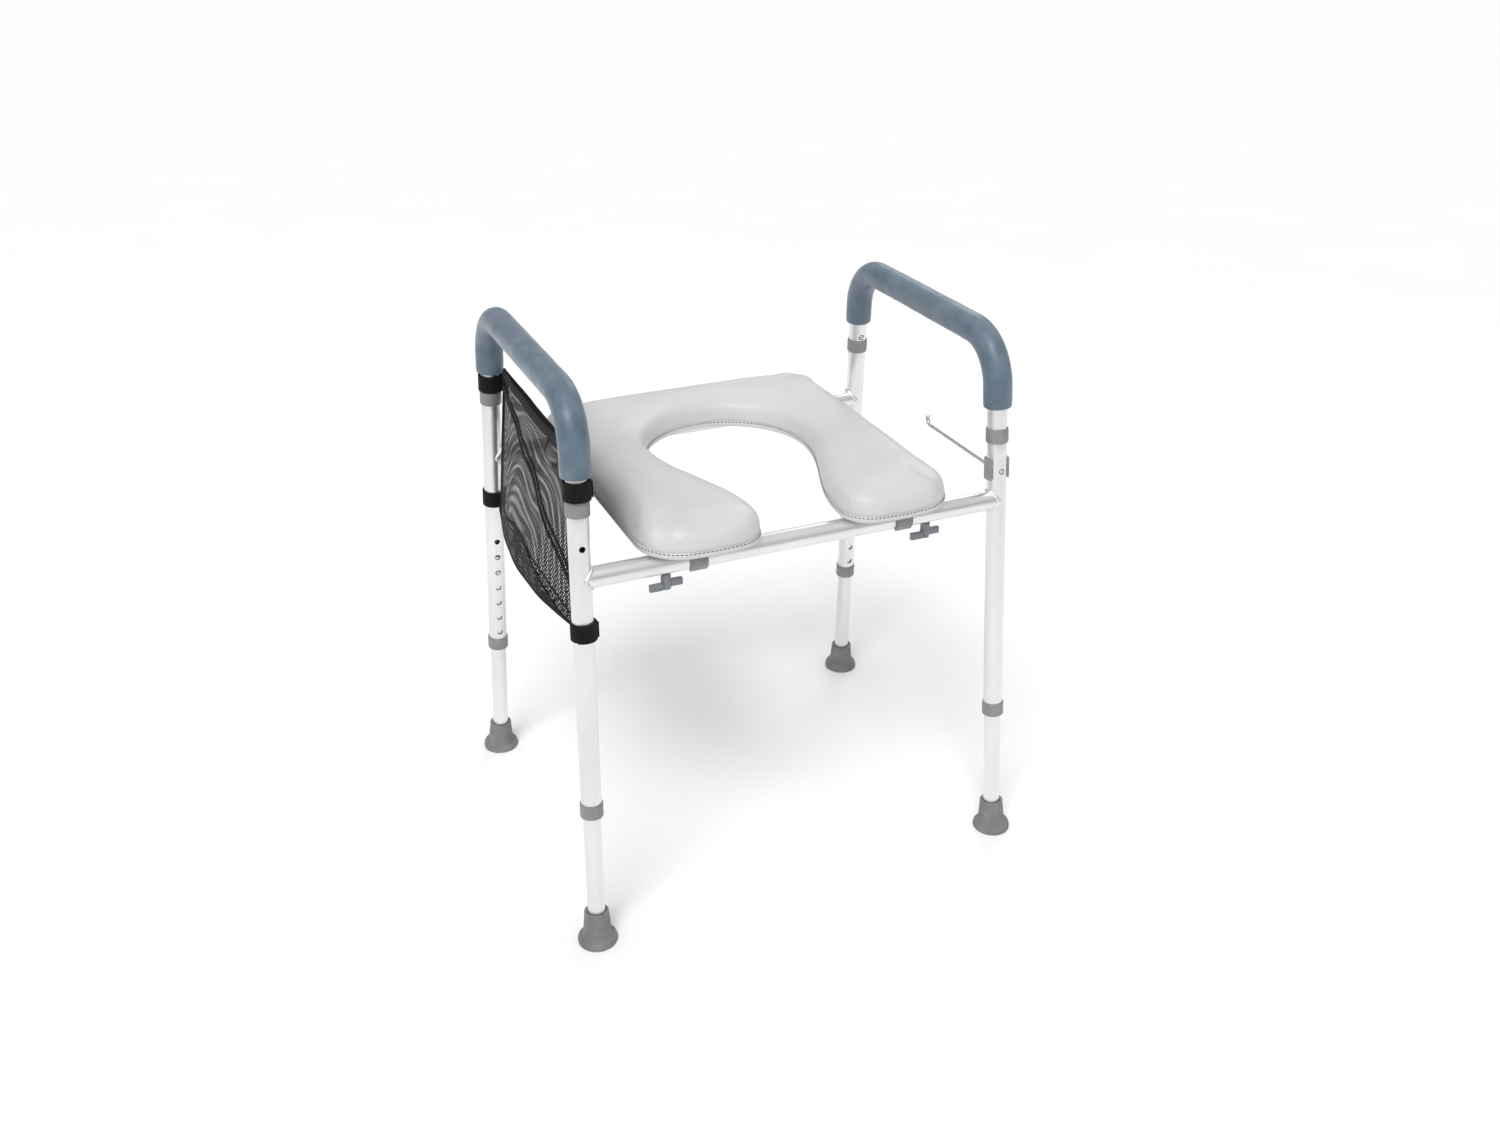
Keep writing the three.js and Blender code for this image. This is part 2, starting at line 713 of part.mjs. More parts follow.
// The front panel's mouth dips between the straps, so the pocket opens above it.
function bagMouth() {
  const end = POST_SPACING_Y / 2;
  const shoulder = 40; // full height this far in from each post
  const dip = new THREE.Shape()
    .moveTo(shoulder - end, BAG_TOP + 5)
    .quadraticCurveTo(0, BAG_TOP - 2 * BAG_DIP, end - shoulder, BAG_TOP + 5);
  const inner = BAG_BACK - BAG_WALL;
  const reach = BAG_BACK + 2 * BAG_BULGE;
  return slab(dip, reach).applyMatrix4(ALONG_X).translate(inner - reach, 0, 0);
}

function bag() {
  return cut(bagBody(0, 0).subtract(bagBody(BAG_WALL, 10)), bagMouth());
}

mesh("storage_bag", bag(), blackWeb, sides.left);

for (const end of ["front_left", "rear_left"]) {
  for (const [place, at, id] of [
    ["_upper_strap", TOP_STRAP_AT, TOP_STRAP_ID],
    ["_lower_strap", LOW_STRAP_AT, LOW_STRAP_ID],
  ]) {
    const loop = pipe(STRAP_OD, id, at - STRAP_WIDTH / 2, at + STRAP_WIDTH / 2, 20);
    mesh(end + place, loop, blackWeb, corners[end]);
  }
}

// ---------- paper holder on the front right post ----------
// A C-shaped clip, its mouth to the front, and a rod pinned through the post and the clip's back.
function clip() {
  const inner = TUBE_OD / 2 + FIT_GAP;
  const outer = inner + CLIP_THICK;
  const [from, to] = [Math.PI / 2 + CLIP_MOUTH / 2, (5 * Math.PI) / 2 - CLIP_MOUTH / 2];
  const section = new THREE.Shape()
    .absarc(0, 0, outer, from, to)
    .absarc(0, 0, inner, to, from, true);
  const band = slab(section, CLIP_HEIGHT).translate(0, 0, CLIP_AT - CLIP_HEIGHT / 2);
  return cut(solid(band), drill(ROD_D + 2 * FIT_GAP, CROSS_HOLE_AT));
}

// From its tip, flush with the post's front, back through the clip, level, and up at the free end.
function paperRod() {
  const at = CROSS_HOLE_AT;
  const back = -TUBE_OD / 2 - CLIP_THICK - 8;
  const level = new THREE.Vector3(0, -Math.cos(cornerLean), Math.sin(cornerLean));
  const rise = new THREE.Vector3(0, Math.sin(cornerLean), Math.cos(cornerLean));
  const elbow = new THREE.Vector3(0, back, at);
  const end = elbow.clone().addScaledVector(level, ROD_REACH);
  const tip = end.clone().addScaledVector(rise, ROD_TIP_RISE);
  const path = bentPath([new THREE.Vector3(0, TUBE_OD / 2, at), elbow, end, tip], ROD_BEND_R, 3);
  return bentTube(path, ROD_D, 0, 4);
}

mesh("paper_holder_clip", clip(), greyPlastic, corners.front_right);
mesh("paper_holder_rod", paperRod(), steel, corners.front_right);

export default frame;
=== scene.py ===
"""Toilet safety frame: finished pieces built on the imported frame. Metres, +Z up, open front to -Y."""

import json
import math

import bmesh
import bpy
from mathutils import Matrix, Vector, noise


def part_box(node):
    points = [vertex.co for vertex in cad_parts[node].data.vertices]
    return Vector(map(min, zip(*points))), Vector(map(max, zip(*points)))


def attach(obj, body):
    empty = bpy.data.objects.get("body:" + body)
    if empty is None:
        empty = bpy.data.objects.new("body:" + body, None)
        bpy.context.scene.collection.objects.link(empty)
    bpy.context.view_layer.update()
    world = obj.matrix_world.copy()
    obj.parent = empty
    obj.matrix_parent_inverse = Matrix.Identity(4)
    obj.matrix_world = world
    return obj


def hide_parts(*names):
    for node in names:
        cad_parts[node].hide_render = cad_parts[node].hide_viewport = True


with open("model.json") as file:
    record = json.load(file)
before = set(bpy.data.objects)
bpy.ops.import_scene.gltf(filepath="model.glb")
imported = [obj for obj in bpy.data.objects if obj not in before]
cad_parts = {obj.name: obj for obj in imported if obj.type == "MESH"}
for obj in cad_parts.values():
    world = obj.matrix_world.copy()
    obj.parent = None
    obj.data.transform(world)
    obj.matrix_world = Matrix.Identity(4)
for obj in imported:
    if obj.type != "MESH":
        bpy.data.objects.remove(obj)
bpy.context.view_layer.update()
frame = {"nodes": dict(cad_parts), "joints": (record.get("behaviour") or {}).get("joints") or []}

MM = 0.001
PLACES = ("front_left", "front_right", "rear_left", "rear_right")
JOINTS = {joint["name"]: joint for joint in frame["joints"]}

# ---------- sizes that the frame's boxes don't give ----------
SIDES = 72  # facets round a tube
FEW_SIDES = 32  # round a wire, a screw or a pin
TUBE_WALL = 1.25 * MM
SWAGE_FROM = 73 * MM  # heights along a post count from the crossbar's axis
SWAGE_TO = 81 * MM
CROSS_HOLE_AT = 41 * MM
CROSS_HOLE_D = 7.6 * MM
HOLE_D = 8 * MM
HOLE_PITCH = 25.4 * MM
HOLES_ABOVE = 2  # leg holes above the one in use
HOLES_BELOW = 4
BUTTON_ABOVE_ROOT = 45 * MM
BUTTON_D = 6 * MM
LEAF_OUT = 8.5 * MM
LEAF_THICK = 0.8 * MM
LEAF_HALF = 4 * MM
DOME_RISE = 1.6 * MM
COLLAR_LIP = 3 * MM
FOOT_RIM_R = 15.5 * MM
FOOT_CONE_R = 18.5 * MM
FOOT_FLANGE = 8 * MM
ARM_RISE = 207 * MM
ARM_BEND_R = 62 * MM
GRIP_R = 18.2 * MM
FIT = 0.25 * MM  # clearance between pieces that slide or clip together

# ---------- where the CAD pieces are ----------
def centre(node):
    low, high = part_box(node)
    return (low + high) / 2


BAR_Z = centre("front_crossbar").z


def corner_matrix(place):
    """A corner's own frame: +Z up its post, -Y to the frame's middle, origin level with the crossbar."""
    up = Vector(JOINTS[place + "_leg_slide"]["axis"]).normalized()
    across = -Vector(JOINTS[place + "_leg_button_press"]["axis"]).normalized()
    on_axis = centre(place + "_leg_collar")
    origin = on_axis + up * ((BAR_Z - on_axis.z) / up.z)
    turn = Matrix((across, up.cross(across), up)).transposed().to_4x4()
    return Matrix.Translation(origin) @ turn


CORNERS = {place: corner_matrix(place) for place in PLACES}


def side_matrix(side):
    """The leaning plane of one side's two posts: +X inboard on the left, +Y to the rear."""
    front, rear = CORNERS["front_" + side], CORNERS["rear_" + side]
    up = (front.col[2].xyz + rear.col[2].xyz).normalized()
    back = Vector((0, 1, 0))
    turn = Matrix((back.cross(up), back, up)).transposed().to_4x4()
    return Matrix.Translation((front.translation + rear.translation) / 2) @ turn


SIDE = {side: side_matrix(side) for side in ("left", "right")}


def local_points(node, matrix):
    inverse = matrix.inverted()
    return [inverse @ vertex.co for vertex in frame["nodes"][node].data.vertices]


def span(node, matrix):
    """The lowest and highest point of a CAD node along a local frame's Z."""
    heights = [point.z for point in local_points(node, matrix)]
    return min(heights), max(heights)


def radius(node, matrix):
    return max(point.xy.length for point in local_points(node, matrix))


FIRST = CORNERS["front_left"]
TUBE_R = radius("front_left_post", FIRST)
LEG_R = radius("front_left_leg_tube", FIRST)
COLLAR_R = radius("front_left_leg_collar", FIRST)


def height_on(place, point):
    """How far up its corner's post a point lies, from the level of the crossbar."""
    return (CORNERS[place].inverted() @ Vector(point)).z


LEG_BUTTON_AT = (
    height_on("front_left", JOINTS["front_left_leg_button_press"]["pos_m"]) + BUTTON_ABOVE_ROOT
)
ARM_BUTTON_AT = (
    height_on("front_left", JOINTS["front_left_arm_button_press"]["pos_m"]) + BUTTON_ABOVE_ROOT
)


def evenly(low, high, count):
    """Values from low to high, in a count of equal steps."""
    return [low + (high - low) * i / count for i in range(count + 1)]


# ---------- meshes ----------
def add_mesh(name, vertices, faces, matrix=None, angle=35):
    """A new object with smooth faces, and creases where faces meet at more than the angle."""
    data = bpy.data.meshes.new(name)
    data.from_pydata([tuple(vertex) for vertex in vertices], [], faces)
    if matrix:
        data.transform(matrix)
    obj = bpy.data.objects.new(name, data)
    bpy.context.scene.collection.objects.link(obj)
    outward(obj)
    shade(obj, angle)
    return obj


def outward(obj):
    work = bmesh.new()
    work.from_mesh(obj.data)
    bmesh.ops.recalc_face_normals(work, faces=work.faces)
    work.to_mesh(obj.data)
    work.free()


def shade(obj, angle=35):
    obj.data.shade_smooth()
    obj.data.set_sharp_from_angle(angle=math.radians(angle))


def apply_modifiers(obj, angle=35):
    graph = bpy.context.evaluated_depsgraph_get()
    data = bpy.data.meshes.new_from_object(obj.evaluated_get(graph))
    obj.modifiers.clear()
    obj.data = data
    shade(obj, angle)
    return obj


def carve(obj, cutters, operation="DIFFERENCE"):
    """Cuts the cutters out of the object, or joins them to it, and removes them."""
    for cutter in cutters:
        tool = obj.modifiers.new("cut", "BOOLEAN")
        tool.object, tool.operation, tool.solver = cutter, operation, "EXACT"
        if cutter.data.materials:
            tool.material_mode = "TRANSFER"
    apply_modifiers(obj)
    for cutter in cutters:
        bpy.data.objects.remove(cutter)
    return obj


def rounded_edges(obj, width, segments=2, angle=40):
    bevel = obj.modifiers.new("round", "BEVEL")
    bevel.width, bevel.segments, bevel.limit_method = width, segments, "ANGLE"
    bevel.angle_limit = math.radians(angle)
    return apply_modifiers(obj)


def filleted(corners, closed=False, steps=4):
    """A polyline through corners given as (x, y, radius), rounded at each by its radius."""
    points = []
    for i, (x, y, size) in enumerate(corners):
        here = Vector((x, y))
        if not size or (not closed and i in (0, len(corners) - 1)):
            points.append(here)
            continue
        before = (Vector(corners[i - 1][:2]) - here).normalized()
        after = (Vector(corners[(i + 1) % len(corners)][:2]) - here).normalized()
        half = before.angle(after) / 2
        middle = here + (before + after).normalized() * (size / math.sin(half))
        start = here + before * (size / math.tan(half)) - middle
        end = here + after * (size / math.tan(half)) - middle
        first = math.atan2(start.y, start.x)
        sweep = (math.atan2(end.y, end.x) - first + math.pi) % (2 * math.pi) - math.pi
        for step in range(steps + 1):
            turn = first + sweep * step / steps
            points.append(middle + size * Vector((math.cos(turn), math.sin(turn))))
    return points


class Straight:
    """A path straight up +Z."""

    def at(self, s):
        return Vector((0, 0, s)), Vector((1, 0, 0)), Vector((0, 1, 0))

    def stations(self):
        return []


class Bent:
    """A path in one plane: straight runs with a round bend at each turning point."""

    def __init__(self, turns, bend):
        legs = [b - a for a, b in zip(turns, turns[1:])]
        self.bend = bend
        self.side = legs[0].cross(legs[1]).normalized()
        self.parts = []
        here = turns[0]
        for i, leg in enumerate(legs[:-1]):
            ahead, turn = leg.normalized(), leg.angle(legs[i + 1])
            cut = bend * math.tan(turn / 2)
            end = turns[i + 1] - ahead * cut
            self.parts.append((False, here, ahead, (end - here).length))
            self.parts.append((True, end + self.side.cross(ahead) * bend, ahead, turn * bend))
            here = turns[i + 1] + legs[i + 1].normalized() * cut
        self.parts.append((False, here, legs[-1].normalized(), (turns[-1] - here).length))
        self.length = sum(part[3] for part in self.parts)

    def at(self, s):
        for is_bend, place, ahead, length in self.parts:
            if s <= length or ahead is self.parts[-1][2]:
                break
            s -= length
        if is_bend:
            inward, turn = self.side.cross(ahead), s / self.bend
            point = place + self.bend * (ahead * math.sin(turn) - inward * math.cos(turn))
            ahead = ahead * math.cos(turn) + inward * math.sin(turn)
        else:
            point = place + ahead * s
        return point, self.side.cross(ahead), self.side

    def stations(self, step=math.radians(4), run_step=12 * MM):
        found, s = [], 0
        for is_bend, _, _, length in self.parts:
            count = max(1, round(length / (step * self.bend if is_bend else run_step)))
            found += [s + length * i / count for i in range(count + 1)]
            s += length
        return found


def turned(name, profile, matrix=None, path=None, sides=SIDES, closed=True, angle=35):
    """A skin of revolution about a path, from (radius, length along it) pairs."""
    path = path or Straight()
    ends = list(zip(profile, profile[1:])) + ([(profile[-1], profile[0])] if closed else [])
    line = []
    for (r0, s0), (r1, s1) in ends:
        line.append((r0, s0))
        between = [s for s in path.stations() if min(s0, s1) + 1e-5 < s < max(s0, s1) - 1e-5]
        for s in sorted({round(s, 6) for s in between}, reverse=s1 < s0):
            line.append((r0 + (r1 - r0) * (s - s0) / (s1 - s0), s))
    if not closed:
        line.append(tuple(profile[-1]))
    vertices, rings = [], []
    for r, s in line:
        point, across, over = path.at(s)
        count = sides if r > 1e-7 else 1
        rings.append([len(vertices) + k for k in range(count)])
        for k in range(count):
            turn = 2 * math.pi * k / sides
            vertices.append(point + r * (across * math.cos(turn) + over * math.sin(turn)))
    faces = []
    for a, b in list(zip(rings, rings[1:])) + ([(rings[-1], rings[0])] if closed else []):
        for k in range(sides):
            quad = [a[k % len(a)], a[(k + 1) % len(a)], b[(k + 1) % len(b)], b[k % len(b)]]
            corners = list(dict.fromkeys(quad))
            if len(corners) > 2:
                faces.append(corners)
    return add_mesh(name, vertices, faces, matrix, angle)


def cylinder(name, r, low, high, matrix, sides=SIDES):
    """A capped cylinder along a local frame's Z."""
    return turned(name, [(0, low), (r, low), (r, high), (0, high)], matrix, sides=sides, closed=False)


def drill(diameter, at, matrix, wall=-1):
    """A cutter for a hole in a tube's wall on its -Y side, on its +Y side (1) or through both (0)."""
    far = 0 if wall else 2 * TUBE_R
    quarter = math.pi / 2 if wall < 1 else -math.pi / 2
    turn = Matrix.Translation((0, 0, at)) @ Matrix.Rotation(quarter, 4, "X")
    cutter = cylinder("drill", diameter / 2, -far, 2 * TUBE_R, matrix @ turn, 40)
    # the hole's walls take this near-black material: painted shade inside the hole
    cutter.data.materials.append(HOLE_SHADE_PAINT)
    return cutter


def upright(point):
    """A local frame on the floor right below a point, with its Z up."""
    return Matrix.Translation((point.x, point.y, 0))


def block(name, x, y, z, matrix=None, edge=0.0):
    """A box between two values on each axis, with rounded edges."""
    corners = [(a, b, c) for a in x for b in y for c in z]
    faces = [(0, 1, 3, 2), (4, 6, 7, 5), (0, 4, 5, 1), (2, 3, 7, 6), (0, 2, 6, 4), (1, 5, 7, 3)]
    obj = add_mesh(name, corners, faces, matrix)
    return rounded_edges(obj, edge, 3) if edge else obj


def extruded(name, outline, low, high, matrix=None, edge=0.0):
    """An outline in XY extruded up Z."""
    count = len(outline)
    vertices = [(p[0], p[1], z) for z in (low, high) for p in outline]
    faces = [tuple(reversed(range(count))), tuple(range(count, 2 * count))]
    faces += [(i, (i + 1) % count, count + (i + 1) % count, count + i) for i in range(count)]
    obj = add_mesh(name, vertices, faces, matrix)
    return rounded_edges(obj, edge) if edge else obj


def put(obj, look, body, slot, *nodes):
    """Gives a piece its material and body, and hides the CAD nodes that it stands for; slot is not used.
    """
    if obj.data.materials:
        obj.data.materials[0] = look
    else:
        obj.data.materials.append(look)
    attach(obj, body)
    if nodes:
        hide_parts(*nodes)
    return obj


def jitter(obj, amount, size, seed=0.0):
    """Moves each point along its normal by smooth noise."""
    shift = Vector((seed, -seed, 2 * seed))
    normals = [vertex.normal.copy() for vertex in obj.data.vertices]
    for vertex, normal in zip(obj.data.vertices, normals):
        vertex.co += normal * (amount * noise.noise(vertex.co / size + shift))
    return obj


# ---------- materials ----------
class Look:
    """A material under construction, with short calls for the nodes that are used here."""

    def __init__(self, name, color, roughness, metallic=0.0, **sockets):
        self.material = bpy.data.materials.new(name)
        self.material.use_nodes = True
        self.material.diffuse_color = (*color, 1)
        self.tree = self.material.node_tree
        self.shader = self.tree.nodes["Principled BSDF"]
        self.normal = None
        values = {"Base Color": (*color, 1), "Roughness": roughness, "Metallic": metallic}
        values.update({key.replace("_", " "): value for key, value in sockets.items()})
        for socket, value in values.items():
            self.shader.inputs[socket].default_value = value

    def node(self, kind, inputs=(), **settings):
        made = self.tree.nodes.new("ShaderNode" + kind)
        for key, value in settings.items():
            setattr(made, key, value)
        for socket, value in dict(inputs).items():
            if isinstance(value, bpy.types.NodeSocket):
                self.tree.links.new(value, made.inputs[socket])
            else:
                made.inputs[socket].default_value = value
        return made

    def place(self, stretch=(1, 1, 1)):
        where = self.node("TexCoord").outputs["Object"]
        return self.node("Mapping", {"Vector": where, "Scale": stretch}).outputs["Vector"]

    def noise(self, scale, detail=3.0, stretch=(1, 1, 1), roughness=0.5):
        inputs = {"Vector": self.place(stretch), "Scale": scale, "Detail": detail, "Roughness": roughness}
        return self.node("TexNoise", inputs).outputs["Fac"]

    def cells(self, scale, feature="F1", stretch=(1, 1, 1)):
        inputs = {"Vector": self.place(stretch), "Scale": scale}
        return self.node("TexVoronoi", inputs, feature=feature).outputs["Distance"]

    def between(self, value, low, high, from_low=0.0, from_high=1.0):
        inputs = {"Value": value, "From Min": from_low, "From Max": from_high}
        inputs.update({"To Min": low, "To Max": high})
        return self.node("MapRange", inputs).outputs["Result"]

    def color(self, value, low, high, from_low=0.3, from_high=0.7):
        """Base colour that runs from one colour to another with a value."""
        ramp = self.node("ValToRGB", {"Fac": value})
        for element, spot, tone in zip(ramp.color_ramp.elements, (from_low, from_high), (low, high)):
            element.position, element.color = spot, (*tone, 1)
        self.link("Base Color", ramp.outputs["Color"])
        return self

    def link(self, socket, value):
        self.tree.links.new(value, self.shader.inputs[socket])
        return self

    def bump(self, height, distance, strength=1.0):
        inputs = {"Height": height, "Distance": distance, "Strength": strength}
        if self.normal:
            inputs["Normal"] = self.normal
        self.normal = self.node("Bump", inputs).outputs["Normal"]
        self.link("Normal", self.normal)
        return self


def aluminium(name, stretch):
    """Satin anodised tube: faint draw lines along it, and a fine even grain."""
    look = Look(name, (0.80, 0.81, 0.82), 0.34, metallic=1.0)
    lines = look.noise(700, 4, stretch)
    look.color(look.noise(9, 4), (0.78, 0.79, 0.80), (0.86, 0.865, 0.87))
    look.link("Roughness", look.between(lines, 0.30, 0.46, 0.3, 0.7))
    look.bump(lines, 0.02 * MM, 0.5)
    look.bump(look.noise(2600, 2), 0.01 * MM, 0.4)
    return look.material


def steel():
    look = Look("bright_steel", (0.62, 0.63, 0.64), 0.2, metallic=1.0)
    look.link("Roughness", look.between(look.noise(300, 5), 0.14, 0.34, 0.3, 0.7))
    look.bump(look.noise(900, 3), 0.01 * MM, 0.5)
    return look.material


def painted_hole_shade():
    """The walls of the holes, dull and near black: painted shade for the shadow inside each hole."""
    look = Look("hole_walls_painted_shade", (0.10, 0.10, 0.105), 0.6, metallic=0.4)
    look.color(look.noise(400, 3), (0.07, 0.07, 0.075), (0.14, 0.14, 0.145))
    look.bump(look.noise(1500, 2), 0.05 * MM, 0.6)
    return look.material


def foam():
    """Closed-cell foam: mottled blue-grey, its skin pitted with fine pores."""
    look = Look("foam_grip", (0.11, 0.155, 0.20), 0.42, Sheen_Weight=0.2, Sheen_Roughness=0.4)
    mottle = look.noise(40, 5, roughness=0.62)
    look.color(mottle, (0.078, 0.120, 0.163), (0.142, 0.196, 0.248), 0.27, 0.73)
    look.link("Roughness", look.between(look.noise(60, 3), 0.33, 0.52, 0.3, 0.7))
    look.bump(look.cells(1100), 0.09 * MM, 0.5)
    look.bump(look.noise(260, 4), 0.12 * MM, 0.45)
    return look.material


def plastic(name, color, roughness=0.45):
    """Moulded plastic: a fine spark-eroded texture and a little colour drift."""
    look = Look(name, color, roughness)
    darker, lighter = [tuple(part * share for part in color) for share in (0.88, 1.1)]
    look.color(look.noise(70, 4), darker, lighter)
    look.link("Roughness", look.between(look.noise(500, 3), roughness - 0.08, roughness + 0.12))
    look.bump(look.noise(1500, 2), 0.03 * MM, 0.6)
    return look.material


def rubber():
    look = Look("foot_rubber", (0.19, 0.19, 0.195), 0.62)
    look.color(look.noise(55, 5), (0.155, 0.155, 0.16), (0.225, 0.225, 0.23))
    look.link("Roughness", look.between(look.noise(140, 4), 0.5, 0.75, 0.3, 0.7))
    look.bump(look.noise(700, 4), 0.06 * MM, 0.6)
    return look.material


def vinyl():
    """Coated vinyl: a fine pebbled grain with creases between the pebbles."""
    look = Look("seat_vinyl", (0.60, 0.60, 0.60), 0.42, Specular_IOR_Level=0.45)
    look.color(look.noise(14, 5), (0.59, 0.59, 0.59), (0.635, 0.635, 0.633))
    look.link("Roughness", look.between(look.noise(90, 4), 0.36, 0.50, 0.3, 0.7))
    grain = look.cells(620, "DISTANCE_TO_EDGE")
    look.bump(look.between(grain, 0.0, 1.0, 0.0, 0.25), 0.07 * MM, 0.35)
    look.bump(look.noise(1800, 2), 0.02 * MM, 0.5)
    return look.material


def plywood():
    look = Look("board_plywood", (0.50, 0.44, 0.36), 0.6)
    rings = look.noise(60, 6, (0.06, 1, 1), 0.7)
    look.color(rings, (0.40, 0.34, 0.265), (0.58, 0.52, 0.44))
    look.bump(look.noise(900, 4, (0.05, 1, 1)), 0.1 * MM, 0.5)
    return look.material


def yarn(name, color, roughness=0.75, speckle=1.6):
    """Black knitted or woven yarn, its loops catching a little light."""
    lighter = tuple(part * speckle for part in color)
    look = Look(name, color, roughness, Sheen_Weight=0.03, Specular_IOR_Level=0.25)
    look.color(look.noise(1500, 3), color, lighter)
    look.bump(look.noise(2200, 2), 0.15 * MM, 0.8)
    return look.material


def fuzz():
    """The loop side of hook-and-loop tape: matted loops with paler flecks."""
    look = Look("strap_loops", (0.006, 0.006, 0.006), 0.95, Sheen_Weight=0.05, Specular_IOR_Level=0.2)
    tangle = look.noise(1300, 6, roughness=0.75)
    look.color(tangle, (0.002, 0.002, 0.002), (0.035, 0.035, 0.036), 0.45, 0.78)
    look.bump(look.noise(1700, 6, roughness=0.8), 0.5 * MM, 1.0)
    return look.material


def ribbed(name, color, pitch, along):
    """Elastic or woven binding tape: close ribs across its length, their crests painted lighter than the
    grooves as painted highlight and painted shade.
    """
    look = Look(name, color, 0.8, Sheen_Weight=0.04, Specular_IOR_Level=0.3)
    inputs = {"Vector": look.place(), "Scale": 1 / pitch / 3, "Distortion": 1.2}
    wave = look.node("TexWave", inputs, bands_direction=along)
    painted_crest_light = tuple(part * 2.2 for part in color)
    # rib crests lighter and grooves darker, following the bump: painted highlight and painted shade
    look.color(wave.outputs["Fac"], color, painted_crest_light, 0.2, 0.9)
    look.bump(wave.outputs["Fac"], 0.3 * MM, 0.7)
    return look.material


def thread():
    look = Look("seam_thread", (0.06, 0.06, 0.062), 0.7, Sheen_Weight=0.1)
    look.color(look.noise(900, 3), (0.035, 0.035, 0.037), (0.10, 0.10, 0.102))
    look.bump(look.noise(2500, 2), 0.08 * MM, 0.8)
    return look.material


TUBE_UPRIGHT = aluminium("tube_satin_upright", (1, 1, 0.012))
TUBE_ACROSS = aluminium("tube_satin_across", (0.012, 1, 1))
STEEL = steel()
# near-black hole walls: painted shade inside the holes
HOLE_SHADE_PAINT = painted_hole_shade()
FOAM = foam()
COLLAR_GREY = plastic("collar_grey", (0.24, 0.242, 0.245), 0.42)
FIXING_GREY = plastic("fixing_grey", (0.265, 0.27, 0.28), 0.4)
NUT_GREY = plastic("nut_grey", (0.20, 0.213, 0.235), 0.36)
RUBBER = rubber()
VINYL = vinyl()
PLYWOOD = plywood()
NET = yarn("bag_net", (0.0025, 0.0025, 0.003))
BINDING = yarn("bag_binding", (0.003, 0.003, 0.003), 0.9, 3.0)
ELASTIC = ribbed("bag_elastic", (0.004, 0.004, 0.0045), 1.6 * MM, "Y")
FUZZ = fuzz()
THREAD = thread()


# ---------- posts, legs, feet, collars and snap buttons ----------
def make_post(place):
    matrix = CORNERS[place]
    low, high = span(place + "_post", matrix)
    rings = evenly(low, SWAGE_FROM, 40)
    outer = [(TUBE_R, s) for s in rings]
    outer += [(LEG_R + 0.35 * MM, SWAGE_TO - MM), (LEG_R, SWAGE_TO + MM)]
    outer += [(LEG_R, ARM_BUTTON_AT), (LEG_R, high)]
    inner = [(LEG_R - TUBE_WALL, high), (LEG_R - TUBE_WALL, SWAGE_TO)]
    inner += [(TUBE_R - TUBE_WALL, s) for s in reversed(rings)]
    obj = turned(place + "_post_tube", outer + inner, matrix)
    obj.data.materials.append(TUBE_UPRIGHT)
    heights = [LEG_BUTTON_AT + HOLE_PITCH * i for i in range(-HOLES_BELOW, HOLES_ABOVE + 1)]
    cutters = [drill(HOLE_D, at, matrix) for at in heights + [ARM_BUTTON_AT]]
    wall = 0 if place == "front_right" else 1
    cutters.append(drill(CROSS_HOLE_D, CROSS_HOLE_AT, matrix, wall))
    carve(obj, cutters)
    return put(obj, TUBE_UPRIGHT, "frame", "frame_tube", place + "_post")


def make_leg(place):
    matrix = CORNERS[place]
    low, high = span(place + "_leg_tube", matrix)
    rings = evenly(low, high, 24)
    inside = LEG_R - TUBE_WALL
    profile = [(LEG_R, s) for s in rings] + [(inside, s) for s in reversed(rings)]
    obj = turned(place + "_leg", profile, matrix)
    obj.data.materials.append(TUBE_UPRIGHT)
    carve(obj, [drill(HOLE_D, LEG_BUTTON_AT, matrix)])
    return put(obj, TUBE_UPRIGHT, place + "_leg", "frame_tube", place + "_leg_tube")


def make_foot(place):
    """A rubber tip: a tapered neck that flares into a flange, its sole pressed level with the floor."""
    matrix = CORNERS[place]
    node = place + "_foot"
    low, high = span(node, matrix)
    sole = matrix.inverted() @ Vector((*(centre(node).xy), 0))
    flange_r, flange = radius(node, matrix), sole.z + FOOT_FLANGE
    bore = LEG_R + FIT
    corners = [
        (0, low - 1 * MM, 0),
        (flange_r - 0.6 * MM, low - 1 * MM, 0),
        (flange_r, flange - 4.2 * MM, 1.0 * MM),
        (flange_r - 0.9 * MM, flange - 3.7 * MM, 0.3 * MM),
        (flange_r - 0.9 * MM, flange - 0.2 * MM, 1.6 * MM),
        (FOOT_CONE_R, flange + 0.6 * MM, 4.2 * MM),
        (FOOT_RIM_R + 0.2 * MM, high - 3.2 * MM, 0.4 * MM),
        (FOOT_RIM_R + 0.2 * MM, high, 1.0 * MM),
        (bore + 0.9 * MM, high, 0.7 * MM),
        (bore, high - 1.5 * MM, 0.5 * MM),
        (bore, sole.z + 8.2 * MM, 0),
        (0, sole.z + 8.2 * MM, 0),
    ]
    obj = turned(place + "_rubber_foot", filleted(corners), matrix, closed=False)
    for vertex in obj.data.vertices:
        vertex.co.z = max(vertex.co.z, 0.0)
    return put(obj, RUBBER, place + "_leg", "foot_rubber", node)


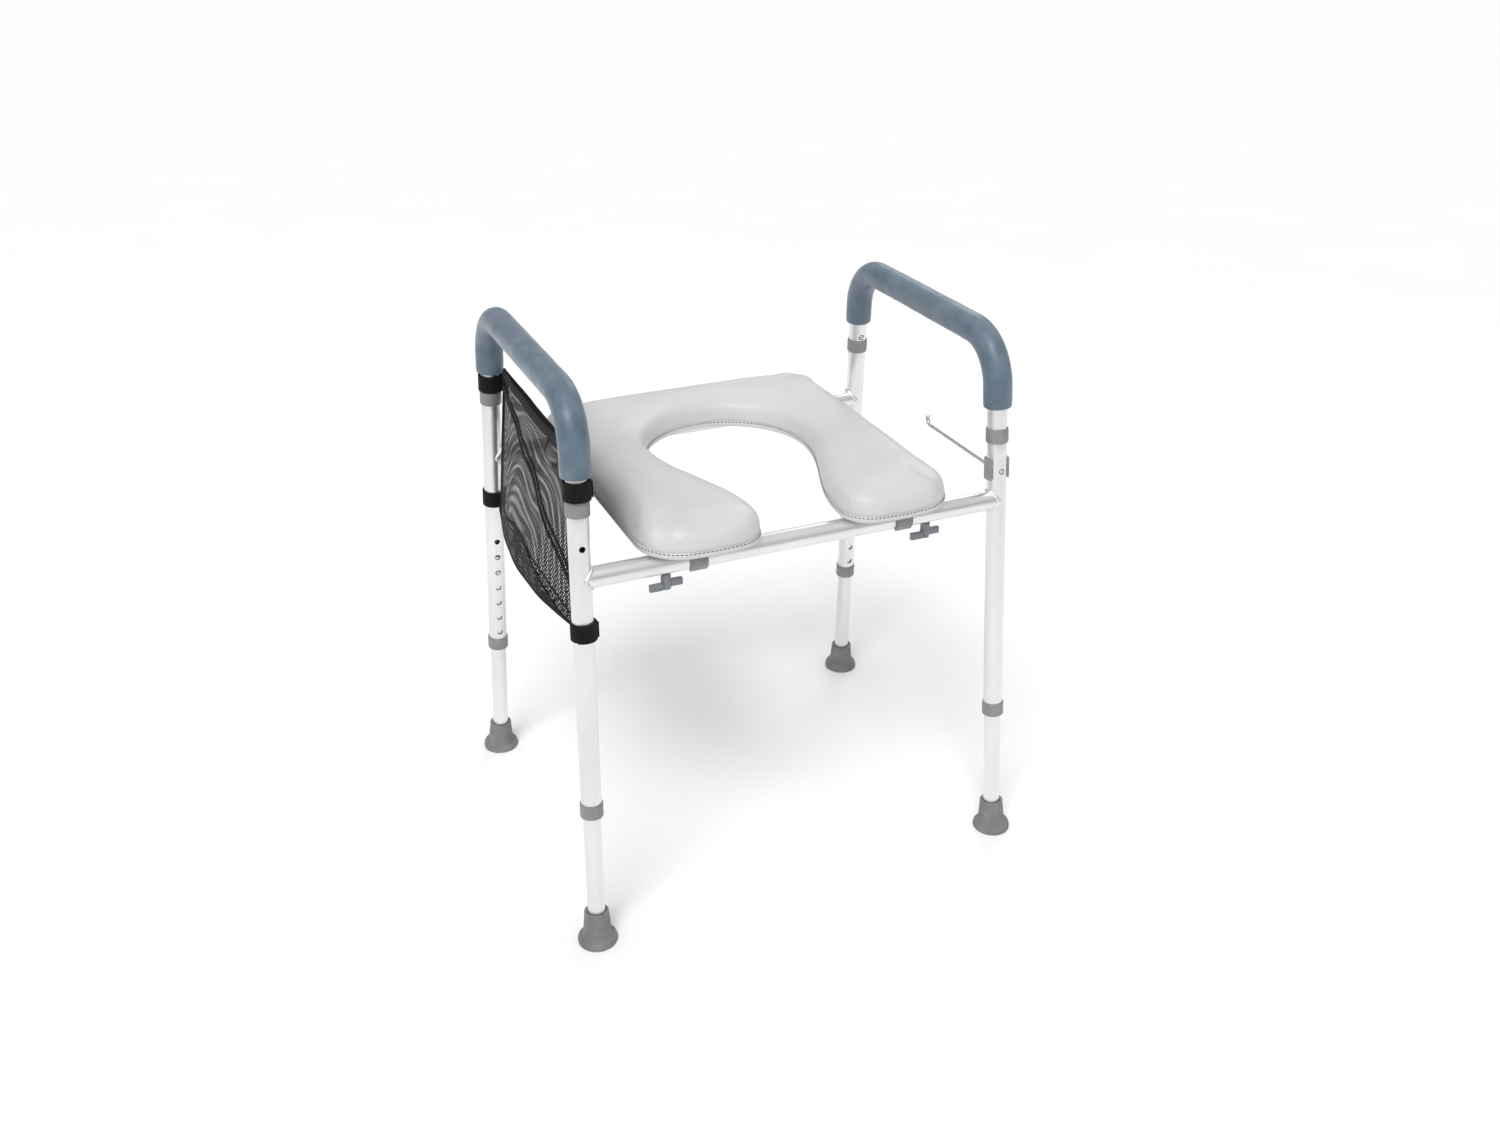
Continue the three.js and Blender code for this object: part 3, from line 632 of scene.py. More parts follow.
def make_collar(place, node, bore):
    """A bush with a rounded rim, a shallow step near its top and the lip that guides the inner tube."""
    matrix = CORNERS[place]
    low, high = span(node, matrix)
    grip = TUBE_R + 0.2 * MM
    corners = [
        (bore, low, 0.4 * MM),
        (COLLAR_R, low, 0.9 * MM),
        (COLLAR_R, high - 2.6 * MM, 0.2 * MM),
        (COLLAR_R - 0.35 * MM, high - 2.3 * MM, 0.2 * MM),
        (COLLAR_R - 0.35 * MM, high, 0.7 * MM),
        (grip, high, 0.3 * MM),
        (grip, low + COLLAR_LIP, 0),
        (bore, low + COLLAR_LIP, 0),
    ]
    obj = turned(node + "_bush", filleted(corners, closed=True, steps=3), matrix)
    return put(obj, COLLAR_GREY, "frame", "collar_plastic", node)


def make_button(place, node, at, body):
    """A domed pin riveted to a flat spring leaf."""
    matrix = CORNERS[place]
    tip = -min(point.y for point in local_points(node, matrix))
    r = BUTTON_D / 2
    root, shoulder = LEAF_OUT - LEAF_THICK / 2, tip - DOME_RISE
    dome = [(0, root), (r, root), (r, shoulder)]
    for step in range(1, 6):
        rise = math.pi / 2 * step / 6
        dome.append((r * math.cos(rise), shoulder + DOME_RISE * math.sin(rise)))
    turn = Matrix.Translation((0, 0, at)) @ Matrix.Rotation(math.pi / 2, 4, "X")
    pin = turned(node + "_pin", dome + [(0, tip)], matrix @ turn, sides=FEW_SIDES, closed=False)
    wide, deep = (-LEAF_HALF, LEAF_HALF), (-LEAF_OUT, LEAF_THICK - LEAF_OUT)
    leaf = block(node + "_leaf", wide, deep, span(node, matrix), matrix, 0.25 * MM)
    put(pin, STEEL, body, "hardware_steel", node)
    put(leaf, STEEL, body, "hardware_steel", node)


for place in PLACES:
    make_post(place)
    make_leg(place)
    make_foot(place)
    make_collar(place, place + "_leg_collar", LEG_R + FIT)
    make_collar(place, place + "_arm_collar", TUBE_R - 0.4 * MM)
    make_button(place, place + "_leg_button", LEG_BUTTON_AT, place + "_leg_catch")
    make_button(place, place + "_arm_button", ARM_BUTTON_AT, place + "_arm_catch")


# ---------- arms and grips ----------
def arm_path(side, start):
    """A U in a side's plane from one post to the other, from a height along the posts."""
    inverse = SIDE[side].inverted()

    def on_post(place, s):
        return inverse @ (CORNERS[place + "_" + side] @ Vector((0, 0, s)))

    elbow = ARM_RISE / (inverse @ (CORNERS["front_" + side] @ Vector((0, 0, 1)))).z
    turns = [on_post("front", start), on_post("front", elbow), on_post("rear", elbow)]
    return Bent(turns + [on_post("rear", start)], ARM_BEND_R)


def grip_start(side):
    """How far along the posts the grip begins."""
    low = span(side + "_foam_grip", SIDE[side])[0]
    slope = (SIDE[side].inverted() @ (CORNERS["front_" + side] @ Vector((0, 0, 1)))).z
    return low / slope + 1.6 * MM


def make_arm(side):
    matrix = SIDE[side]
    start = span("front_" + side + "_arm_collar", CORNERS["front_" + side])[0] + COLLAR_LIP + 0.3 * MM
    path = arm_path(side, start)
    inside, length = TUBE_R - TUBE_WALL, path.length
    profile = filleted(
        [(inside, 0, 0), (TUBE_R, 0, 0.4 * MM), (TUBE_R, length, 0.4 * MM), (inside, length, 0)], True, 2
    )
    tube = turned(side + "_arm_bend", profile, matrix, path)
    tube.data.materials.append(TUBE_UPRIGHT)
    ends = ("front_" + side, "rear_" + side)
    carve(tube, [drill(HOLE_D, ARM_BUTTON_AT, CORNERS[end]) for end in ends])
    put(tube, TUBE_UPRIGHT, "frame", "frame_tube", side + "_arm_tube")


def make_grip(side):
    path = arm_path(side, grip_start(side))
    taper = 14 * MM
    corners = [
        (TUBE_R + 0.1 * MM, 0, 0),
        (GRIP_R - 0.4 * MM, 0, 2.6 * MM),
        (GRIP_R, taper, 6 * MM),
        (GRIP_R, path.length - taper, 6 * MM),
        (GRIP_R - 0.4 * MM, path.length, 2.6 * MM),
        (TUBE_R + 0.1 * MM, path.length, 0),
    ]
    grip = turned(side + "_foam_sleeve", filleted(corners), SIDE[side], path, closed=True, sides=96)
    jitter(grip, 0.35 * MM, 22 * MM, 3.0)
    put(grip, FOAM, "frame", "grip_foam", side + "_foam_grip")


for side in ("left", "right"):
    make_arm(side)
    make_grip(side)


# ---------- crossbars and their welds ----------
COPE_GAP = 0.1 * MM
STUD_HOLE_R = 3.5 * MM
WELD_R = 2.3 * MM
RIPPLE_PITCH = 1.9 * MM


def saddle_point(matrix, bar_end, turn, inward):
    """The point of the bar's skin, at an angle round the bar, where it reaches the post's skin."""
    up, origin = matrix.col[2].xyz, matrix.translation
    start = Vector((bar_end.x, bar_end.y + TUBE_R * math.sin(turn), bar_end.z + TUBE_R * math.cos(turn)))
    away = start - origin - up * (start - origin).dot(up)
    ahead = Vector((inward, 0, 0))
    ahead -= up * ahead.dot(up)
    mid = away.dot(ahead) / ahead.length_squared
    rest = (away.length_squared - (1.02 * TUBE_R) ** 2) / ahead.length_squared
    return start + Vector((inward, 0, 0)) * (math.sqrt(max(mid * mid - rest, 1e-7)) - mid)


def make_weld(place, body_node):
    """A fillet of overlapping ripples round the joint of a bar and a post."""
    matrix = CORNERS[place]
    inward = 1 if "left" in place else -1
    end = matrix.translation
    rough = [saddle_point(matrix, end, 2 * math.pi * i / 240, inward) for i in range(240)]
    length = sum((a - b).length for a, b in zip(rough, rough[1:] + rough[:1]))
    ripples = round(length / RIPPLE_PITCH)
    count, around = ripples * 4, 12
    vertices = []
    line = resampled(rough, count)
    up = matrix.col[2].xyz
    for i, point in enumerate(line):
        ahead = (line[(i + 1) % count] - line[i - 1]).normalized()
        out = (point - end - up * (point - end).dot(up)).normalized()
        out = (out - ahead * out.dot(ahead)).normalized()
        over = ahead.cross(out)
        uneven = noise.noise(Vector((i * 0.21, end.x * 9, end.y * 9)))
        size = WELD_R * (0.84 + 0.22 * (i % 4) / 4 + 0.06 * uneven)
        for k in range(around):
            turn = 2 * math.pi * k / around
            vertices.append(point + size * (out * math.cos(turn) + over * math.sin(turn)))
    faces = ring_faces(count, around)
    weld = add_mesh(place + "_weld", vertices, faces, angle=60)
    put(weld, TUBE_ACROSS, "frame", "frame_tube", body_node)


def resampled(points, count):
    """A closed line's points spaced evenly along it."""
    loop = points + points[:1]
    lengths = [0.0]
    for a, b in zip(loop, loop[1:]):
        lengths.append(lengths[-1] + (b - a).length)
    found, k = [], 0
    for i in range(count):
        want = lengths[-1] * i / count
        while lengths[k + 1] < want:
            k += 1
        share = (want - lengths[k]) / (lengths[k + 1] - lengths[k])
        found.append(loop[k].lerp(loop[k + 1], share))
    return found


def ring_faces(count, around, closed=True):
    """Quads between rows of points: `count` rows, each a ring of `around` points."""
    faces = []
    for i in range(count if closed else count - 1):
        for k in range(around):
            row, after, beside = i * around, (i + 1) % count * around, (k + 1) % around
            faces.append((row + k, row + beside, after + beside, after + k))
    return faces


def make_crossbar(end):
    node = end + "_crossbar"
    left, right = CORNERS[end + "_left"].translation, CORNERS[end + "_right"].translation
    length = right.x - left.x
    turn = Matrix.Translation(left) @ Matrix.Rotation(math.pi / 2, 4, "Y")
    steps = evenly(0, length, 60)
    inside = TUBE_R - TUBE_WALL
    profile = [(TUBE_R, s) for s in steps] + [(inside, s) for s in reversed(steps)]
    bar = turned(node + "_tube", profile, turn)
    cutters = []
    deep = 3 * TUBE_R
    for place in (end + "_left", end + "_right"):
        cutters.append(cylinder("cope", TUBE_R + COPE_GAP, -deep, deep, CORNERS[place]))
        stud = upright(centre(place + "_stud"))
        cutters.append(cylinder("stud_hole", STUD_HOLE_R, BAR_Z - deep, BAR_Z + deep, stud, FEW_SIDES))
    carve(bar, cutters)
    put(bar, TUBE_ACROSS, "frame", "frame_tube", node)
    for side in ("left", "right"):
        make_weld(end + "_" + side, node)


for end in ("front", "rear"):
    make_crossbar(end)


# ---------- seat ----------
SEAT_LOW, SEAT_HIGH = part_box("seat_cushion")
HORN_OUTER_R = 58 * MM
HORN_INNER_R = 40 * MM
SEAT_REAR_R = 45 * MM
BOWL_R = 108 * MM
BOWL_CENTRE = 28 * MM
MOUTH_HALF = 54 * MM
MOUTH_FROM = -190 * MM
NECK_REACH = 79 * MM
SEAM_UP = 7 * MM  # the seam's height above the seat's lower edge
PAD_ROUND = 17 * MM
BOARD_INSET = 11 * MM


def arc(x, y, r, start, end, steps):
    turns = [math.radians(turn) for turn in evenly(start, end, steps)]
    return [Vector((x + r * math.cos(t), y + r * math.sin(t))) for t in turns]


def bezier(a, b, c, d, steps):
    found = []
    for t in evenly(0, 1, steps):
        u = 1 - t
        found.append(a * u**3 + 3 * b * u * u * t + 3 * c * u * t * t + d * t**3)
    return found


def seat_half(inset, bow=1.5 * MM):
    """The right half of the seat's outline, from the middle of its rear edge round to the bowl's."""
    half, front, rear = SEAT_HIGH.x - inset, SEAT_LOW.y + inset, SEAT_HIGH.y - inset
    mouth, bowl = MOUTH_HALF + inset, BOWL_R + inset
    back, outer, inner = SEAT_REAR_R - inset, HORN_OUTER_R - inset, HORN_INNER_R - inset
    points = [Vector((x * (half - back) / 12, rear)) for x in range(12)]
    points += arc(half - back, rear - back, back, 90, 0, 14)
    run = (rear - back) - (front + outer)
    points += [Vector((half, rear - back - run * i / 24)) for i in range(1, 24)]
    points += arc(half - outer, front + outer, outer, 0, -90, 18)
    flat = (half - outer) - (mouth + inner)
    for i in range(1, 6):
        points.append(Vector((half - outer - flat * i / 6, front - bow * math.sin(math.pi * i / 6))))
    points += arc(mouth + inner, front + inner, inner, -90, -180, 14)
    start, end = Vector((mouth, MOUTH_FROM)), Vector((bowl, BOWL_CENTRE))
    reach = Vector((0, NECK_REACH))
    points += bezier(start, start + reach, end - reach, end, 24)
    points += arc(0, BOWL_CENTRE, bowl, 0, 90, 24)[1:]
    return points


def seat_outline(inset):
    """The whole outline: a rounded slab with a keyhole opening to the front."""
    half = seat_half(inset)
    mirrored = [Vector((-p.x, p.y)) for p in reversed(half)]
    return half + mirrored[1:-1]


def seat_rings(name, rings, capped=True):
    """A body whose skin passes through the outline at each (inset, height)."""
    outlines = [seat_outline(inset) for inset, _ in rings]
    around = len(outlines[0])
    vertices = [(p.x, p.y, z) for (_, z), line in zip(rings, outlines) for p in line]
    faces = ring_faces(len(rings), around, closed=not capped)
    if capped:
        faces.append(tuple(range(around)))
        faces.append(tuple(range((len(rings) - 1) * around, len(rings) * around)))
    return add_mesh(name, vertices, faces)


PAD_SHRINK = 3.0 * MM  # the pad starts this much too low, and the pressure fills it out
PAD_CAP = 5.0 * MM  # the pressure moves no point further than this
PAD_VOXEL = 5.5 * MM
CLOTH_FRAMES = 20


def pad_start():
    """The pad before it is blown up: its walls rise from the seam and round over into the top."""
    seam, top = SEAT_LOW.z + SEAM_UP, SEAT_HIGH.z - PAD_SHRINK
    rings = [(3.0 * MM, seam - 4 * MM), (0.6 * MM, seam - 0.5 * MM), (0.4 * MM, seam + 3 * MM)]
    for step in range(9):
        turn = math.radians(90 * step / 8)
        inset = 0.8 * MM + PAD_ROUND * (1 - math.cos(turn))
        rings.append((inset, top - PAD_ROUND + PAD_ROUND * math.sin(turn)))
    return seat_rings("seat_pad", rings)


def inflate(pad):
    """Blows the pad up as cloth under pressure, held round its lower edge."""
    before = [vertex.co.copy() for vertex in pad.data.vertices]
    held = pad.vertex_groups.new(name="held")
    edge = SEAT_LOW.z + SEAM_UP + 0.6 * PAD_VOXEL
    held.add([v.index for v in pad.data.vertices if v.co.z < edge], 1.0, "REPLACE")
    cloth = pad.modifiers.new("cloth", "CLOTH")
    cloth.settings.use_pressure = True
    cloth.settings.uniform_pressure_force = 4
    cloth.settings.vertex_group_mass = "held"
    cloth.settings.quality = 4
    cloth.settings.effector_weights.gravity = 0
    cloth.point_cache.frame_end = CLOTH_FRAMES
    for step in range(1, CLOTH_FRAMES + 1):
        bpy.context.scene.frame_set(step)
    apply_modifiers(pad, 180)
    bpy.context.scene.frame_set(1)
    for vertex, start in zip(pad.data.vertices, before):
        move = vertex.co - start
        if move.length > PAD_CAP:
            vertex.co = start + move.normalized() * PAD_CAP


def make_pad():
    pad = pad_start()
    remesh = pad.modifiers.new("remesh", "REMESH")
    remesh.mode, remesh.voxel_size = "VOXEL", PAD_VOXEL
    apply_modifiers(pad, 180)
    inflate(pad)
    smooth = pad.modifiers.new("smooth", "SMOOTH")
    smooth.factor, smooth.iterations = 0.5, 6
    subdivide = pad.modifiers.new("subdivide", "SUBSURF")
    subdivide.levels = subdivide.render_levels = 1
    apply_modifiers(pad, 180)
    jitter(pad, 0.5 * MM, 45 * MM, 1.0)
    put(pad, VINYL, "frame", "seat_vinyl", "seat_cushion")


def make_seat_band():
    """The strip of vinyl below the seam, turned in under the board's edge."""
    low, seam = SEAT_LOW.z, SEAT_LOW.z + SEAM_UP
    rings = [
        (1.9 * MM, seam + 0.5 * MM),
        (0.9 * MM, seam - 0.4 * MM),
        (0.3 * MM, seam - 1.6 * MM),
        (0.2 * MM, seam - 4.0 * MM),
        (0.5 * MM, low + 1.3 * MM),
        (1.4 * MM, low + 0.3 * MM),
        (2.8 * MM, low),
        (BOARD_INSET - 0.2 * MM, low),
        (BOARD_INSET - 0.2 * MM, seam + 3 * MM),
        (4.5 * MM, seam + 3 * MM),
    ]
    band = seat_rings("seat_edge_band", rings, capped=False)
    put(band, VINYL, "frame", "seat_vinyl", "seat_cushion")


STITCH_PITCH = 5.2 * MM
STITCH_R = 0.6 * MM


def make_stitches(name, line, up):
    """Short threads end to end along a closed line, each sunk a little at both ends."""
    shape = ((0, 0.3, -0.5), (0.25, 1, 0.3), (0.75, 1, 0.3), (1, 0.3, -0.5))  # place, bulk, rise
    length = sum((a - b).length for a, b in zip(line, line[1:] + line[:1]))
    count = round(length / STITCH_PITCH)
    spots = resampled(line, count * 8)
    vertices, faces = [], []
    for i in range(count):
        here, there = spots[i * 8], spots[(i * 8 + 5) % len(spots)]
        ahead = (there - here).normalized()
        out = ahead.cross(up).normalized()
        start = len(vertices)
        for share, bulk, rise in shape:
            point = here.lerp(there, share) + out * (STITCH_R * rise)
            for k in range(6):
                turn = math.pi * k / 3
                vertices.append(point + STITCH_R * bulk * (out * math.cos(turn) + up * math.sin(turn)))
        faces += [tuple(start + index for index in face) for face in ring_faces(4, 6, closed=False)]
    return add_mesh(name, vertices, faces)


def make_seam():
    line = [Vector((p.x, p.y, SEAT_LOW.z + SEAM_UP - 0.3 * MM)) for p in seat_outline(0.45 * MM)]
    seam = make_stitches("seat_seam_thread", line, Vector((0, 0, 1)))
    put(seam, THREAD, "frame", "seat_vinyl", "seat_cushion")


def make_board():
    low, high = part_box("seat_base_board")
    rings = [
        (BOARD_INSET + 0.6 * MM, low.z),
        (BOARD_INSET, low.z + 0.6 * MM),
        (BOARD_INSET, high.z - 0.6 * MM),
        (BOARD_INSET + 0.6 * MM, high.z),
    ]
    board = seat_rings("seat_board", rings)
    cutters = []
    for place in PLACES:
        for node, bore in ((place + "_stud", 3.3 * MM), (place + "_hook_screw", 2.2 * MM)):
            where = upright(centre(node))
            cutters.append(cylinder("bolt_hole", bore, low.z - MM, high.z + MM, where, 24))
    carve(board, cutters)
    put(board, PLYWOOD, "frame", "seat_board", "seat_base_board")


make_pad()
make_seat_band()
make_seam()
make_board()


# ---------- hooks, screws, studs and wing nuts ----------
HOOK_THICK = 3 * MM
HOOK_END = 235
NUT_HUB_R = 6 * MM
WING_THICK = 6 * MM
WING_HEIGHT = 9.5 * MM
RIB_PITCH = 3 * MM
RIB_WIDE = 1.2 * MM
THREAD_PITCH = 1.0 * MM


def make_hook(place):
    node = place + "_hook"
    low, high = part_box(node)
    facing = 1 if place.startswith("front") else -1
    axis_y = centre(place.split("_")[0] + "_crossbar").y
    reach = abs((high.y if facing > 0 else low.y) - axis_y)
    inner = TUBE_R + FIT
    outer = inner + HOOK_THICK
    outline = [Vector((reach, inner)), Vector((reach, outer))]
    outline += arc(0, 0, outer, 90, HOOK_END, 28)
    outline += arc(0, 0, inner, HOOK_END, 90, 28)
    turn = Matrix(((0, 0, 1, 0), (facing, 0, 0, 0), (0, 1, 0, 0), (0, 0, 0, 1)))
    matrix = Matrix.Translation((0, axis_y, BAR_Z)) @ turn
    hook = extruded(node + "_plate", outline, low.x, high.x, matrix)
    rounded_edges(hook, 0.8 * MM, 3, 30)
    put(hook, FIXING_GREY, "frame", "fixing_plastic", node)


def make_screw(place):
    """A pan-headed screw, head down, with a cross recess."""
    node = place + "_hook_screw"
    low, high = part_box(node)
    where = upright(centre(node))
    corners = [
        (0, low.z, 0),
        (2.6 * MM, low.z, 0.4 * MM),
        (4 * MM, low.z + 1.1 * MM, 0.7 * MM),
        (4 * MM, low.z + 2.4 * MM, 0.2 * MM),
        (2 * MM, low.z + 2.4 * MM, 0),
        (2 * MM, high.z, 0),
        (0, high.z, 0),
    ]
    screw = turned(node + "_pan", filleted(corners), where, sides=FEW_SIDES, closed=False)
    deep = (low.z - MM, low.z + 1.3 * MM)
    arm, slot = 2.1 * MM, 0.45 * MM
    cross = [
        block("slot", (-arm, arm), (-slot, slot), deep, where),
        block("slot", (-slot, slot), (-arm, arm), deep, where),
    ]
    carve(screw, cross)
    put(screw, STEEL, "frame", "hardware_steel", node)


def make_stud(place):
    """A threaded stud under a round head sunk in the board."""
    node = place + "_stud"
    low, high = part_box(node)
    crest, root, head_r = 3 * MM, 2.55 * MM, 7 * MM
    head = high.z - 2.5 * MM
    turns = int((head - low.z - 2 * MM) / THREAD_PITCH)
    profile = [(0, low.z), (root - 0.4 * MM, low.z)]
    for i in range(turns):
        start = low.z + 0.6 * MM + i * THREAD_PITCH
        profile.append((root, start))
        profile += [(crest, start + share * THREAD_PITCH) for share in (0.45, 0.55)]
    profile += [(root, head - 0.8 * MM), (crest, head)]
    profile += [(head_r, head), (head_r, high.z), (0, high.z)]
    where = upright(centre(node))
    stud = turned(node + "_thread", profile, where, sides=FEW_SIDES, closed=False, angle=25)
    put(stud, STEEL, "frame", "hardware_steel", node)


def make_wing_nut(place):
    """A hub with a ribbed wing on each side, one towards the front and one towards the rear."""
    node = place + "_wing_nut"
    low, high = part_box(node)
    where = upright(Vector(JOINTS[node + "_turn"]["pos_m"]))
    half = (high.x - low.x) / 2
    bore = 3.3 * MM
    hub_corners = [
        (bore, low.z, 0.3 * MM),
        (NUT_HUB_R, low.z, 0.8 * MM),
        (NUT_HUB_R, high.z, 0.6 * MM),
        (bore, high.z, 0.3 * MM),
    ]
    hub = turned(node + "_knob", filleted(hub_corners, True, 3), where, sides=48)
    parts = []
    for sign in (-1, 1):
        across = sorted((sign * (bore + 1.2 * MM), sign * half))
        deep = sorted((0.2 * MM * sign, sign * WING_THICK))
        tall = (low.z + 0.2 * MM, low.z + WING_HEIGHT)
        parts.append(block("wing", across, deep, tall, where, 1.3 * MM))
        for i in range(3):
            edge = half - 3.2 * MM - i * RIB_PITCH
            x = sorted((sign * edge, sign * (edge - RIB_WIDE)))
            face = sorted((sign * (WING_THICK - 0.5 * MM), sign * (WING_THICK + 0.45 * MM)))
            tall = (low.z + 1.8 * MM, low.z + WING_HEIGHT - 1.6 * MM)
            parts.append(block("rib", x, face, tall, where, 0.3 * MM))
    carve(hub, parts, "UNION")
    put(hub, NUT_GREY, place + "_nut", "fixing_plastic", node)


for place in PLACES:
    make_hook(place)
    make_screw(place)
    make_stud(place)
    make_wing_nut(place)


# ---------- paper holder ----------
CLIP_THICK = 3 * MM
CLIP_MOUTH = 110
ROD_R = 3 * MM
ROD_BEND = 8 * MM


def make_clip():
    """A C-shaped spring clip, its lips flared off the tube and rounded at their ends."""
    node = "paper_holder_clip"
    matrix = CORNERS["front_right"]
    low, high = span(node, matrix)
    inner = TUBE_R + 0.3 * MM
    outer = inner + CLIP_THICK
    first, last = 90 + CLIP_MOUTH / 2, 450 - CLIP_MOUTH / 2
    outline = arc(0, 0, outer, first, last, 44)
    outline += arc(0, 0, inner, last, first, 44)
    clip = extruded(node + "_jaws", outline, low, high, matrix)
    rounded_edges(clip, 1.1 * MM, 4, 30)
    put(clip, FIXING_GREY, "frame", "fixing_plastic", node)


def make_rod():
    node = "paper_holder_rod"
    matrix = CORNERS["front_right"]
    inverse = matrix.inverted()
    level = inverse.to_3x3() @ Vector((0, 1, 0))
    level = Vector((0, level.y, level.z)).normalized()
    rise = Vector((0, -level.z, level.y)) * (-1 if level.y < 0 else 1)
    points = local_points(node, matrix)
    elbow = Vector((0, -TUBE_R - CLIP_THICK - 8 * MM, CROSS_HOLE_AT))
    far = min(points, key=lambda p: p.y)
    reach = (far - elbow).dot(level) - ROD_R
    end = elbow + level * reach
    top = max((p - end).dot(rise) for p in points)
    path = Bent([Vector((0, TUBE_R, CROSS_HOLE_AT)), elbow, end, end + rise * top], ROD_BEND)
    corners = [(0, 0, 0), (ROD_R, 0, 0.8 * MM), (ROD_R, path.length, 1.2 * MM), (0, path.length, 0)]
    rod = turned(node + "_wire", filleted(corners), matrix, path, sides=FEW_SIDES, closed=False)
    put(rod, STEEL, "frame", "hardware_steel", node)


make_clip()
make_rod()


# ---------- side bag and its straps, on the left ----------
LEFT = SIDE["left"]
BAG_TOP = 131 * MM  # heights along the posts, as above
BAG_BOTTOM = -75 * MM
BAG_SAG = 8 * MM
BAG_DIP = 8 * MM
BAG_SHOULDER = 40 * MM  # the mouth is at full height this near to a post
BAG_BULGE = 18 * MM
BAG_GAP = 19.2 * MM  # from a post's axis
BAG_PLY = 1.5 * MM  # between the two panels where they meet
ELASTIC_HEIGHT = 11 * MM
HEM_HEIGHT = 11 * MM
BINDING_WIDTH = 6 * MM
STRAP_HEIGHT = 22 * MM
STRAP_R = 17 * MM
STRAP_START = math.radians(-35)  # angles round the post
STRAP_SWEEP = math.radians(525)
LAP_FROM = math.radians(325)  # the end climbs onto the start from here
LAP_OVER = math.radians(45)
NET_BAR = 0.42  # share of each mesh cell that is yarn, from its edge to its middle
NET_COLUMNS = 69
BOOT_COLUMNS = 83
LEVEL = evenly(-1, 1, 90)  # places from the front post to the rear one
SEAM_ROUTE = [  # the diagonal seam, as places along and up the front panel
    (0.99, 0.88), (0.61, 0.85), (0.26, 0.785), (-0.04, 0.715), (-0.29, 0.605),
    (-0.5, 0.49), (-0.68, 0.385), (-0.85, 0.265), (-0.99, 0.17),
]
DART_ROUTE = [(-0.32, 0.98), (-0.28, 0.88), (-0.22, 0.72)]


def bag_half(height):
    """Half the bag's length at a height: the posts lean together."""
    foot = LEFT.inverted() @ CORNERS["rear_left"].translation
    lean = LEFT.inverted().to_3x3() @ CORNERS["rear_left"].col[2].xyz
    return foot.y + lean.y / lean.z * height - BAG_GAP


def bag_low(a):
    return BAG_BOTTOM - BAG_SAG * (1 - a * a)


def bag_high(a):
    """The front panel's mouth: level by the posts, with a dip between them."""
    reach = a * bag_half(BAG_TOP) / (bag_half(0) + BAG_GAP - BAG_SHOULDER)
    dip = BAG_DIP * (1 - reach * reach) - 5 * MM
    return BAG_TOP - (dip + math.hypot(dip, 3 * MM)) / 2


def back_panel(a, b):
    """A point of the panel by the posts: a runs from front to rear and b from bottom to top."""
    height = bag_low(a) + (BAG_TOP - bag_low(a)) * b
    x = (5 + 9 * b) * MM + BAG_PLY
    ripple = 1.2 * MM * noise.noise(Vector((3 * a, 2.5 * b, 7.0)))
    return Vector((x + ripple * (1 - a * a), a * bag_half(height), height))


def front_panel(a, b):
    """A point of the outboard panel, which hangs full low down and is drawn in by its elastic."""
    height = bag_low(a) + (bag_high(a) - bag_low(a)) * b
    edge = (5 + 9 * b) * MM
    fullness = (1 - a * a) * (1 - 0.9 * min(max(b, 0), 1.1) ** 1.6)
    ripple = 2.4 * MM * noise.noise(Vector((2.6 * a - 1.5 * b, 2.2 * b, 1.0)))
    pull = 1.6 * MM * math.sin(9 * (a + 0.55 * b)) * (1 - a * a) * b
    return Vector((edge - (edge + BAG_BULGE) * fullness + ripple + pull, a * bag_half(height), height))


def out_of(surface, a, b, push=0.0):
    """A point pushed off a surface towards outboard, and the direction out of it there."""
    step = 1e-3
    along = surface(a + step, b) - surface(a - step, b)
    up = surface(a, b + step) - surface(a, b - step)
    out = up.cross(along).normalized()
    if out.x > 0:
        out = -out
    return surface(a, b) + out * push, out


def net(name, surface, inside, columns, rows, bar=NET_BAR, push=0.0):
    """A knitted net: six-sided holes in staggered rows, over the part of a surface that is inside."""
    offsets = ((0, 2), (1, 1), (1, -1), (0, -2), (-1, -1), (-1, 1))
    vertices, faces, shared = [], [], {}

    def point(x, y):
        vertices.append(out_of(surface, x / columns - 1, y / (3 * rows), push)[0])
        return len(vertices) - 1

    for row in range(rows + 1):
        for column in range(columns + 1):
            x, y = 2 * column + row % 2, 3 * row
            if not inside(x / columns - 1, y / (3 * rows)):
                continue
            outer = []
            for dx, dy in offsets:
                key = (x + dx, y + dy)
                if key not in shared:
                    shared[key] = point(*key)
                outer.append(shared[key])
            inner = [point(x + (1 - bar) * dx, y + (1 - bar) * dy) for dx, dy in offsets]
            for k in range(6):
                after = (k + 1) % 6
                faces.append((outer[k], outer[after], inner[after], inner[k]))
    return add_mesh(name, vertices, faces, LEFT, 60)


def cloth(obj, flat, on, with_pieces=()):
    """Gives a panel of the bag the net material and body, and hides the CAD bag; flat, on and with_pieces
    are not used.
    """
    put(obj, NET, "frame", "bag_mesh", "storage_bag")


